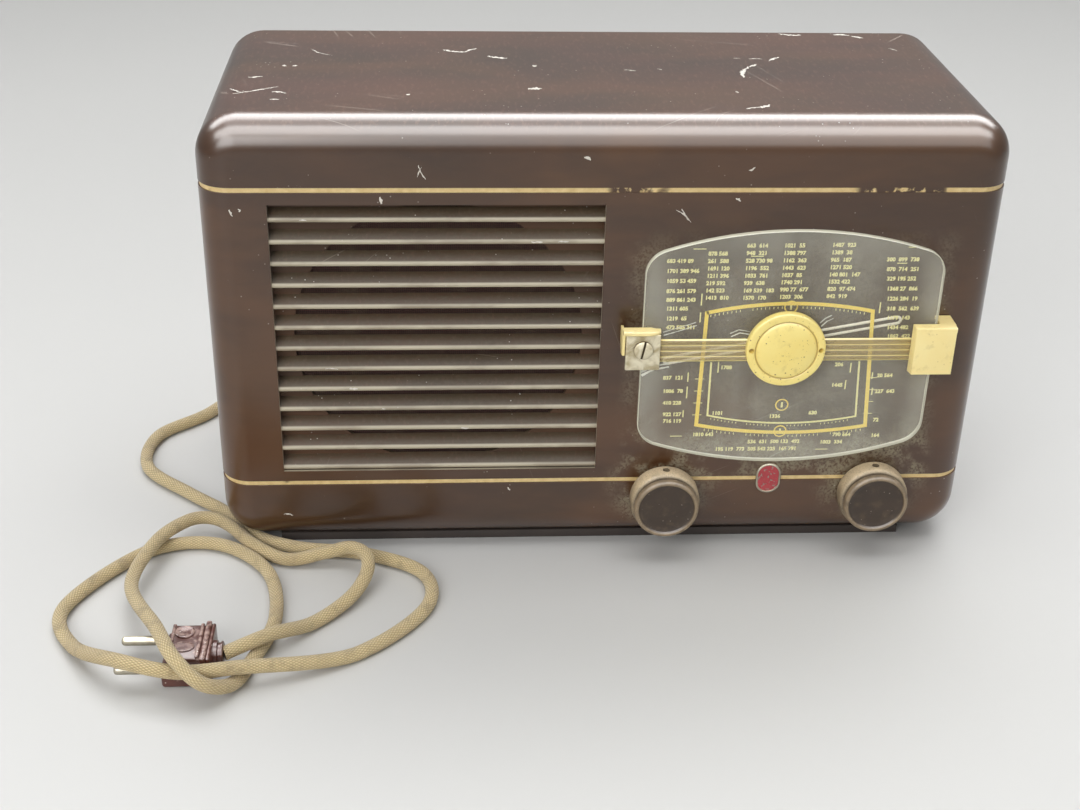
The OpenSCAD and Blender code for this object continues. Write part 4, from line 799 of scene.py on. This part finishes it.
# Rows of plain numbers: where the first and the last row of a block start, where they end, and their heights
digits = random.Random(7)
texts = []
for first, last, x_end, *heights in (
        (25, 26.5, 40, 146.2, 141.6, 137, 132.3, 128.2, 124.1, 119.4, 115.2),
        (42.4, 42.4, 55, 149.5, 146.1, 142.7, 139.3, 135.9, 132.5, 129.1),
        (58.5, 58.5, 71.5, 153.1, 149.7, 146.2, 142.8, 139.3, 135.9, 132.4, 129),
        (74.3, 74.3, 87.5, 153.1, 149.7, 146.3, 142.9, 139.5, 136.2, 132.8, 129.4),
        (94.7, 94.7, 108.5, 153.3, 149.9, 146.5, 143.1, 139.7, 136.4, 133, 129.6),
        (118.7, 123.4, 136, 146.6, 142.1, 137.7, 133, 128.3, 123.6, 119.2, 114.6, 110.4),
        (26.6, 27.8, 36.5, 90.7, 84.1, 78.2, 72.4, 69), (121.4, 121.4, 131, 91.1, 83.2),
        (122.4, 122.4, 127, 68.7, 60.7),
        (41.5, 41.5, 51.6, 62), (104.8, 104.8, 112.8, 61.3), (66.6, 66.6, 97.3, 58), (99.5, 99.5, 112.6, 57.5),
        (52.2, 52.2, 97, 54.3), (49.4, 49.4, 56, 72.8), (92.8, 92.8, 99.4, 72.6), (75.2, 75.2, 80.4, 71),
        (51.6, 51.6, 56.6, 95.6), (102, 102, 108, 96.7), (101.6, 101.6, 106.4, 86.5)):
    for k, z in enumerate(heights):
        x = first + (last - first) * k / max(len(heights) - 1, 1)
        words = str(digits.randint(20, 1900))
        while len(words) * 1.34 < x_end - x - 3.6:
            words += " " * digits.randint(1, 2) + str(digits.randint(15, 950))
        row = bpy.data.curves.new("row", "FONT")
        row.body = words
        row.size, row.offset, row.resolution_u = 2.5 * MM, 0.12 * MM, 2
        text = settle(placed("row", row))
        upright = Matrix.Rotation(math.pi / 2, 4, "X")
        text.data.transform(Matrix.Translation(Vector((x, print_y, z - 0.85)) * MM) @ upright)
        text.data.materials.append(cream_print.material)
        texts.append(text)
dial_print = joined("dial_print", tracks.piece("tracks", yellow_print), lines.piece("lines", cream_print), *texts)
belongs(dial_print, "dial_glass")

# Strap: a strip of clear plastic, gone amber with age, that lies across the glass at its middle and holds it.
# Four ribs are moulded along it.
amber = Finish("amber_plastic")
up = amber.millimetres()[2] - strap_z
bands = abs((up * (math.pi / 2.65) + 0.2).sine())
rib_lines = bands.step(0.24, 0.06).most(abs(up).step(4.7, 5))
grubby = amber.cloud(120, 4, (0.1, 1, 1))
amber.surface(rib_lines.mix(grubby.mix((194, 170, 112), (226, 204, 146)), (255, 240, 168)), 0.25 + grubby * 0.2,
              bands, 0.0002, coat=0.4, alpha=0.34 + rib_lines * 0.55 + grubby * 0.1)
rings = []
for reach, inset in ((-59.7, 0.25), (-59.5, 0), (0, 0), (59.5, 0), (59.7, 0.25)):
    face = [(dial_x + reach, inset - 75.75 - 0.25 * abs(math.sin(k * math.pi / 8)),
             strap_z - 5.1 + inset + (10.2 - 2 * inset) * k / 32) for k in range(33)]
    low, high = ((dial_x + reach, -75 - inset / 2, strap_z + side * (5.3 - inset)) for side in (-1, 1))
    rings.append([low] + face + [high])
belongs(Shape().loft(rings).piece("dial_strap", amber, sharp=60), "strap_plastic", "dial_strap")

# Clips: pressed plates on posts at the glass's two ends, each with a slotted screw. The right one keeps its
# cream cover; on the left only the upper ledge of the cover and a piece of its side are left, cracked.
clip_face = -77.5
dull_plating = Finish("dull_plating")
stained = dull_plating.cloud(160, 5, bend=0.8)
y = dull_plating.millimetres()[1]
# The clip screws' slots and the sides of their heads next to the lugs are painted dark brown: painted shade in the
# slots and under the heads
slot_shade = y.step(-78.75, -78.4) * (y < clip_face - 0.1)
dull_plating.surface(slot_shade.mix(stained.step(0.35, 0.7).mix((222, 214, 188), (168, 154, 120)), (70, 58, 38)),
                     0.4 + stained * 0.2, stained, 0.00008, metal=0.5)
for side, name in ((-1, "left_clip"), (1, "right_clip")):
    low, high = (Vector(end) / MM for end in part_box(name))
    at = dial_x + side * clip_reach
    hole = Shape().rod(2.3, 8, (at, -80, clip_z), backwards)
    lug = Shape().box((low.x, clip_face, low.z), (high.x, -76.1, high.z)).piece("lug", dull_plating, 0.5, cut=[hole])
    post = Shape().rod(3.3, 9.6, (at, -76.4, clip_z), backwards).piece("post", dull_plating)
    belongs(joined(name, lug, post), "plated_steel", name)
clip_spots = [(dial_x + side * clip_reach, clip_face, clip_z) for side in (-1, 1)]
clip_screws = slotted_heads("clip_screws", clip_spots, forwards, 4.2, 1.6, 0.9, 0.6, dull_plating)
belongs(clip_screws, "plated_steel", "clip_screws")

cream = Finish("yellowed_cream_plastic")
x, y, z = cream.millimetres()
mellow = cream.cloud(60, 4)
brown_specks = cream.cells(330).step(0.14, 0.08) * cream.cloud(170).step(0.42, 0.52)
pin_specks = cream.cells(800).step(0.16, 0.1) * cream.cloud(240).step(0.46, 0.56)
from_middle = ((x - shaft_x) ** 2 + (z - shaft_z) ** 2) ** 0.5
on_cap = from_middle < 18
groove = abs(from_middle - 13.45).step(0.55, 0.15) * on_cap
specks = (brown_specks.most(pin_specks) * on_cap * (abs(y) > 79)).most(brown_specks * 0.2)
# The groove round the cap's dome is painted darker, a painted shade in the groove; cloudy grime patches lie over all
# the cream pieces
groove_shade_and_grime = (groove * 0.6).most(cream.cloud(190, 5).step(0.55, 0.75) * 0.25)
creamy = layers(mellow.mix((255, 240, 176), (250, 222, 140)),
                (on_cap * 0.65, mellow.mix((254, 236, 138), (246, 218, 104))),
                (specks, (110, 74, 30)), (groove_shade_and_grime, (150, 118, 56)))
cream.surface(creamy, 0.35 + mellow * 0.15, cream.cloud(500, 3) * 0.4 - brown_specks * 0.5, 0.0001, coat=0.2)

ledge_rings = []
for x, proud, thick in ((7.5, 0, 2.3), (8.2, 0.36, 2.3), (12, 0, 2.3), (16.2, 0, 2.3), (19.6, 0.09, 2.3),
                        (22.2, 1.17, 1.8), (23.7, 2.34, 1.8)):
    nose_y, under_z, over_z = proud - 79.9, 114.5, 114.5 + thick
    ledge_rings.append([(x, -75.1, under_z + 0.1), (x, nose_y + 0.6, under_z + 0.1), (x, nose_y, under_z + 0.6),
                        (x, nose_y, over_z - 0.5), (x, nose_y + 0.6, over_z), (x, -75.1, over_z)])
shard = Shape().loft([[(x, -77.4, 104.4), (x, -76.9, 107), (x, -77.3, 110), (x, -77.4, 114.7), (x, -68.2, 114.7),
                       (x, -68.4, 108), (x, -69.6, 105.2), (x, -73, 103.2)] for x in (7.4, 8.6)])
broken = joined("broken_clip_cover", Shape().loft(ledge_rings).piece("ledge", cream, sharp=50),
                shard.piece("shard", cream, 0.25, 2))
belongs(broken, "cream_plastic", "broken_clip_cover")

# The cover's front is smaller than its back, as a moulding comes out of its tool
cover_left, cover_right, cover_low, cover_top = 132.95, 151.45, 95.65, 118.15
skin = Shape().loft([[(cover_left + g, y, cover_low + g), (cover_right - g, y, cover_low + g),
                      (cover_right - g, y, cover_top - g / 3), (cover_left + g, y, cover_top - g / 3)]
                     for g, y in ((0, -76.2), (0.5, -81))])
skin.box((144.65, -77.2, cover_low), (cover_right, -67.5, 118.1))
hollow = Shape().box((134.4, -79.5, 97.1), (150.05, -60, 116.7))
lip = Shape().loft([[(133.1 + g, y, 116 - g / 2), (151.3 - g, y, 116 - g / 2), (151.3 - g, y, 118.1 - g / 2),
                     (133.1 + g, y, 118.1 - g / 2)] for g, y in ((0, -76.4), (0, -80.6), (0.3, -80.95))])
right_cover = joined("clip_cover", skin.piece("skin", cream, 1.1, 4, 45, [hollow], 40), lip.piece("lip", cream, 0.5))
belongs(right_cover, "cream_plastic", "clip_cover")

# Cap: a round cream moulding in the middle of the dial, with a domed face and a groove round it. Two screws
# hold it, through holes in its flange.
cap_line = [(0.5, 0), (17, 0), (17.2, 0.3), (17.2, 3), (17.05, 3.4), (16.7, 3.66), (16.2, 3.7), (14.1, 3.95),
            (13.75, 3.8), (13.55, 3.4), (13.35, 3.4)]
cap_line += [(13.2 * math.cos(a), 3.45 + 2.1 * math.sin(a)) for a in (math.pi / 24 * k for k in range(1, 13))]
holes = Shape()
for side in (-1, 1):
    holes.rod(1.15, 8, (shaft_x + side * 15.1, -84, shaft_z), backwards, 24)
cap = Shape().turned(cap_line, (shaft_x, -76, shaft_z), forwards, 96).piece("dial_cap", cream, sharp=45, cut=[holes])
belongs(cap, "cream_plastic", "dial_cap")

# Knobs: turned-looking brown mouldings with a smooth face, a raised rim, a dark step and a skirt that dust has
# turned tan. A grub screw in the skirt grips the shaft. The rear knob is smaller and plain, with an index line.
knob_line = [(3.02, 0), (13.9, 0), (14.7, 0.25), (15.4, 0.8), (15.7, 1.7), (15.7, 7.1), (15.5, 8), (14.9, 8.7),
             (14.2, 8.98), (13.5, 9.1), (13.35, 9.4), (13.35, 9.95), (13.7, 10.1), (14.3, 10.3), (14.58, 10.8),
             (14.6, 12.3), (14.4, 13), (13.9, 13.5), (13.4, 13.68), (12.9, 13.6), (12.6, 13.3), (12.45, 12.75),
             (12.2, 12.55), (9, 12.5), (4, 12.47), (0, 12.46)]
rear_knob_line = [(3.02, 0), (10.4, 0), (11, 0.6), (11, 12), (10.7, 13.2), (10, 14.2), (9.2, 14.8), (8.4, 15),
                  (0, 15)]
band_x, band_z = 100, 29.4


def knob_finish(name, middle_x, middle_y, middle_z):
    """The knobs' moulding, worn and dusty by the distance from its own axis"""
    made = Finish(name)
    x, y, z = made.millimetres()
    out = ((x - middle_x) ** 2 + (z - middle_z) ** 2) ** 0.5
    reach = middle_y - y
    up = made.facing()[2].step(-0.3, 0.85)
    dust, fine_dust = made.cloud(240, 5), made.cloud(1500, 3)
    ring = out.step(12.3, 12.9) * reach.step(10.2, 10.8)
    tan = reach.step(9.3, 8.6) * (dust.step(0.25, 0.55) * 0.2 + 0.1 + up * 0.7)
    tan = tan * (fine_dust.step(0.3, 0.55) * 0.3 + 0.7)
    nicks = made.cells(520).step(0.13, 0.08) * made.cloud(210).step(0.5, 0.6)
    tone = layers(made.cloud(60, 4, bend=1).mix((40, 26, 13), (60, 43, 26)),
                  (dust.step(0.5, 0.75) * 0.4, (90, 71, 48)),
                  (ring * (dust.step(0.3, 0.6) * 0.25 + 0.35), (168, 146, 114)), (tan, (206, 184, 146)),
                  (nicks * 0.6, (206, 190, 168)))
    return made.surface(tone, 0.34 + tan * 0.45 + ring * 0.15 + dust * 0.1,
                        dust * 0.3 + tan * fine_dust * 0.5 - nicks * 0.6, 0.00012, coat=0.15)


for name, (x, z), y, body in (("volume", knob_spots[0], -69.8, "volume_spindle"),
                              ("tuning", knob_spots[1], -67.8, "tuning_control")):
    finish = knob_finish(f"{name}_knob_moulding", x, y, z)
    grub_hole = Shape().rod(1.6, 14, (x, y - 4.5, z + 5), upwards, 24)
    knob = Shape().turned(knob_line, (x, y, z), forwards, 96).piece(f"{name}_knob", finish, sharp=40, cut=[grub_hole])
    belongs(knob, "knob_moulding", f"{name}_knob", body=body)
finish = knob_finish("rear_knob_moulding", band_x, 92, band_z)
index_line = Shape().box((band_x - 0.8, 80.8, band_z), (band_x + 0.8, 90, 45))
band_knob = Shape().turned(rear_knob_line, (band_x, 68.5, band_z), backwards, 80)
belongs(band_knob.piece("band_knob", finish, cut=[index_line]), "knob_moulding", "band_knob", body="wave_switch")
ground_steel = Finish("ground_steel")
turning = ground_steel.cloud(900, 3, (1, 0.15, 1))
ground_steel.surface(turning.mix((122, 116, 106), (176, 170, 158)), 0.35 + turning * 0.15, turning, 0.00003, metal=1)
dress(ground_steel, "rotor_shaft", "tuning_spindle", "volume_shaft", "band_shaft")
dress(screw_steel, "tuning_grub_screw", "volume_grub_screw", "rear_cover_screws", "chassis_bolts", "speaker_fixings")

# Cloth behind the louvres: dark red-brown, coarsely woven, stuck flat to a plywood baffle with a round hole
# that the loudspeaker fills
thread_pitch, thread_rows, thread_columns = 0.9, 50, 56
speaker_cloth = Finish("speaker_cloth")
warp, _, weft = (axis * (1000 * math.pi / thread_pitch) for axis in speaker_cloth.axes(speaker_cloth.place))
threads = abs(warp.sine()) * 0.5 + abs(weft.sine()) * 0.5
faded = speaker_cloth.cloud(70, 5).step(0.45, 0.75) * 0.5
speaker_cloth.surface(layers(threads.mix((30, 17, 14), (78, 48, 38)), (faded, (96, 82, 62))), 0.95,
                      threads + speaker_cloth.cloud(1800) * 0.4, 0.0004)
weave = Shape()
row = thread_rows + 1
for n, side_y in enumerate((-57.95, -57.45)):
    start = len(weave.points)
    for u in (i / thread_columns for i in range(thread_columns + 1)):
        for v in (k / thread_rows for k in range(row)):
            sag = 0.25 * math.sin(9 * u + 4 * v) * math.sin(7 * v) * math.sin(math.pi * u) * math.sin(math.pi * v)
            weave.points.append((grille_x + grille_wide * (u - 0.5), side_y + sag * 0.4 * (1 - n),
                                 grille_z + grille_high * (v - 0.5)))
    weave.faces += [(a, a + 1, a + row + 1, a + row) for i in range(thread_columns) for k in range(thread_rows)
                    for a in [start + i * row + k]]
far = thread_columns * row
border = [*range(0, far + 1, row), *range(far + 1, far + row), *range(far - 1, thread_rows - 1, -row),
          *range(thread_rows - 1, 0, -1)]
weave.faces += [(a, b, b + far + row, a + far + row) for a, b in zip(border, border[1:] + border[:1])]
cloth = weave.piece("grille_cloth", speaker_cloth, sharp=60)
belongs(cloth, "speaker_cloth", "grille_cloth")


def mottled(name, light, dark, scale=120, rough=0.55, metal=0, coat=0, grain=(1, 1, 1), depth=0.0001):
    """A finish of two tones that drift into each other, grained along an axis where grain is small"""
    made = Finish(name)
    drift, fleck = made.cloud(scale, 5, grain, 0.6), made.cloud(scale * 7, 3, grain)
    tone = layers(drift.step(0.3, 0.7).mix(light, dark), (fleck.step(0.56, 0.7) * 0.35, [c * 0.6 for c in dark]))
    return made.surface(tone, rough + drift * 0.15 - 0.07, drift * 0.5 + fleck * 0.5, depth, metal=metal, coat=coat)


dress(mottled("plywood", (176, 140, 94), (140, 104, 64), 60, 0.75, grain=(0.12, 1, 1)), "baffle_board")

# Inside: a plated steel chassis with four glass valves, coils in aluminium cans, a tuning capacitor, and the
# loudspeaker with its iron magnet. Everything has the dull, dusty look of an old set.
along_x, along_z = (0.2, 1, 1), (1, 1, 0.1)
dress(mottled("zinc_plated_sheet", (160, 160, 154), (112, 110, 100), 50, 0.5, 0.85), "chassis")
dress(mottled("lacquered_steel", (150, 140, 120), (112, 102, 84), 60, 0.5, 0.8),
      "speaker_frame", "capacitor_frame", "capacitor_bracket")
dress(mottled("cast_iron", (74, 70, 64), (46, 42, 38), 90, 0.65, 0.6), "speaker_magnet")
dress(mottled("laminated_core", (96, 84, 70), (58, 48, 40), 70, 0.6, 0.5, grain=along_z), "output_transformer")
dress(mottled("dull_aluminium", (196, 198, 198), (150, 150, 146), 50, 0.42, 1),
      "if_cans", "smoothing_capacitor", "rotor_plates", "stator_plates")
dress(mottled("dull_brass", (190, 160, 96), (130, 104, 58), 150, 0.35, 1),
      "spindle_bush", "socket_sleeves", "drive_drum")
dress(mottled("brown_laminate", (124, 86, 52), (88, 58, 34), 130, 0.5, coat=0.2, grain=along_x),
      "valve_sockets", "band_switch", "tag_strip", "socket_panel")
dress(mottled("black_moulding", (46, 40, 38), (28, 24, 23), 90, 0.4, coat=0.3), "valve_bases", "mains_switch")
dress(mottled("control_can", (158, 156, 148), (112, 106, 96), 100, 0.42, 0.9), "volume_control")
dress(mottled("cement_coated_wire", (150, 124, 92), (104, 80, 54), 160, 0.8, grain=(1, 1, 0.4)), "dropper_resistor")
dress(mottled("waxed_coil", (176, 126, 66), (128, 82, 40), 200, 0.45, coat=0.2, grain=along_z), "aerial_coil")
dress(mottled("cone_paper", (66, 58, 52), (42, 36, 33), 150, 0.9), "speaker_cone")

# Drive cord: a braided string, 0.8 mm thick, drawn tight round the drum and the tuning spindle, so that the
# tuning knob turns the drum, and with it the pointer and the capacitor's plates.
string_pitch, string_r, string_y = 0.0011, 0.4, -50
drum_at, drum_lay, spindle_at, spindle_lay = (shaft_x, shaft_z), 35.2, knob_spots[1], 4.4
drive_string = Finish("drive_string")
twist = abs((drive_string.node("Attribute", out="Fac", attribute_name="along") * (math.pi / string_pitch)).sine())
drive_string.surface(twist.mix((150, 136, 104), (220, 208, 176)), 0.9, twist, 0.0002)
between = math.atan2(spindle_at[1] - drum_at[1], spindle_at[0] - drum_at[0])
leave = math.acos((drum_lay - spindle_lay) / math.dist(drum_at, spindle_at))
string_line = []
for (x, z), radius, start, sweep in ((drum_at, drum_lay, between + leave, 2 * math.pi - 2 * leave),
                                     (spindle_at, spindle_lay, between - leave, 2 * leave)):
    for a in (start + sweep * k / 40 for k in range(41)):
        string_line.append((x + radius * math.cos(a), string_y, z + radius * math.sin(a)))
string = line_piece("drive_cord", string_line + string_line[:1])
string = tube.make(string, drive_string, Radius=string_r * MM, Sides=10, Step=0.0012)
belongs(smooth(string, 60), "drive_string", "drive_cord")

# Valves: clear glass bulbs on black bases, silvered inside the top. In each a grey anode stands between two
# mica discs, on two thin rods.
valves = ("mixer_valve", "amplifier_valve", "output_valve", "rectifier_valve")
bulb = Finish("valve_bulb_glass")
x, y, z = bulb.millimetres()
silver = 0
anodes, micas = Shape(), Shape()
for name in valves:
    low, high = (Vector(end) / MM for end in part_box(name))
    mid, wide, foot, tall = (low + high) / 2, high.x - low.x, low.z + 7, (high.z - low.z) * 0.45
    near = abs(x - mid.x) < wide / 2 + 1
    silver = (z + bulb.cloud(90) * 6).step(high.z - wide * 0.38, high.z - wide * 0.2) * near + silver
    anodes.turned([(1, 0), (wide * 0.24, 0), (wide * 0.25, 1), (wide * 0.23, tall / 3), (wide * 0.25, tall / 2),
                   (wide * 0.23, tall * 2 / 3), (wide * 0.25, tall - 1), (wide * 0.24, tall), (1, tall)],
                  (mid.x, mid.y, foot), upwards, 24)
    for up in (-1.4, tall + 0.8):
        micas.turned([(0, 0), (wide * 0.33, 0), (wide * 0.33, 0.5), (0, 0.5)], (mid.x, mid.y, foot + up), upwards, 24)
    for side in (-1, 1):
        micas.rod(0.5, tall + 9, (mid.x + side * wide * 0.29, mid.y, low.z + 1), upwards, 8)
silvered = silver.least(1)
bulb.surface(silvered.mix((206, 214, 212), (120, 116, 108)), 0.08 + silvered * 0.15, coat=0.2,
             alpha=(silver * 0.9 + 0.22).least(1), metal=silvered * 0.9)
dress(bulb, *valves)
anodes = anodes.piece("anodes", mottled("carbonised_anode", (70, 70, 70), (44, 44, 44), 200, 0.6, 0.5))
micas = micas.piece("micas", mottled("mica", (206, 200, 184), (168, 160, 140), 150, 0.4))
belongs(joined("valve_insides", anodes, micas), "shaft_steel")

# Back: a pressed fibreboard cover with rows of slots, four screws, two brass sockets, the wave knob and the
# rubber grommet, whose tapered sleeve keeps the lead from kinking
fibre = Finish("pressed_fibreboard")
fibres = fibre.cloud(260, 6, (1, 1, 0.5), 2)
stains = fibre.cloud(14, 4, bend=1).step(0.42, 0.7)
board = layers(fibres.step(0.3, 0.7).mix((128, 96, 62), (92, 66, 42)), (stains * 0.45, (74, 54, 38)),
               (abs(fibre.facing()[1]).step(0.8, 0.5) * 0.5, (160, 130, 92)))
dress(fibre.surface(board, 0.82, fibres * 0.6 + fibre.cells(900) * 0.4, 0.00018), "rear_cover")

sleeve_long, sleeve_wide, sleeve_narrow = 22, 5, 3.45
rubber = mottled("old_rubber", (48, 44, 42), (30, 27, 26), 180, 0.75, coat=0.05, depth=0.00008)
rings, gone = [], 0
for a, b in zip(lead_line, lead_line[1:]):
    if gone > sleeve_long:
        break
    way = (b - a).normalized()
    side = way.cross(Vector(upwards)).normalized()
    lift = side.cross(way)
    radius = sleeve_wide - (sleeve_wide - sleeve_narrow) * min(gone / 21, 1)
    radius += 0.22 * math.cos(gone * 2.1) * (gone < 20)
    rings.append([a + (side * math.cos(t) + lift * math.sin(t)) * radius for t in angles(32)])
    end = a
    gone += (b - a).length
rings.append([end + (p - end).normalized() * 3.02 for p in rings[-1]])
flange = Shape().turned([(3, -8.5), (6.6, -8.5), (7, -8), (7, -7.2), (5, -6.9), (5, -4.1), (7, -3.9), (7, -2.6),
                         (6.4, -2.05), (5.2, -1.8), (4.9, 0.1), (3, 0.1)], lead_route[0], backwards)
grommet = joined("mains_grommet", Shape().loft(rings, False).piece("sleeve", rubber, sharp=60),
                 flange.piece("flange", rubber, sharp=50))
belongs(grommet, "grommet_rubber", "mains_grommet")


# Studio: a plain pale floor, three soft lights, and three long reflectors over the set that only gloss shows.
# They put the long soft highlight along the case's upper edge.
pale_floor = Finish("pale_floor").surface(paint(196, 196, 194), 0.6)
floor = Shape().box((-4000, -4000, -20), (4000, 4000, -0.05)).piece("floor", pale_floor)


def softbox(name, place, target, wide, deep, watts):
    """A rectangular light that looks at a point; distances in metres"""
    data = bpy.data.lights.new(name, "AREA")
    data.shape = "RECTANGLE"
    data.size, data.size_y, data.energy = wide, deep, watts
    lamp = placed(name, data)
    lamp.location = place
    lamp.rotation_euler = (Vector(target) - Vector(place)).to_track_quat("-Z", "Y").to_euler()
    return lamp


for name, place, wide, deep, watts in (("overhead", (0, -0.1, 1.5), 1.7, 0.75, 11),
                                       ("front", (-0.9, -1.6, 1.1), 1.2, 1.1, 21),
                                       ("behind", (0.3, 1, 1.6), 1.8, 0.8, 9)):
    softbox(name, place, (0, 0, 0.1), wide, deep, watts)
for name, y, z, deep, watts in (("back_sheen", 0.8, 1.6, 0.9, 130), ("front_sheen", -0.7, 1.6, 0.8, 110),
                                ("low_sheen", -1.6, 1.2, 1.3, 52)):
    softbox(name, (0, y, z), (0, 0, 0.2), 4.4, deep, watts).visible_diffuse = False
world = bpy.context.scene.world = bpy.data.worlds.new("studio")
world.use_nodes = True
sky = world.node_tree.nodes["Background"].inputs
sky["Color"].default_value = (1, 1, 1, 1)
sky["Strength"].default_value = 0.3
bpy.context.scene.view_settings.view_transform = "Standard"
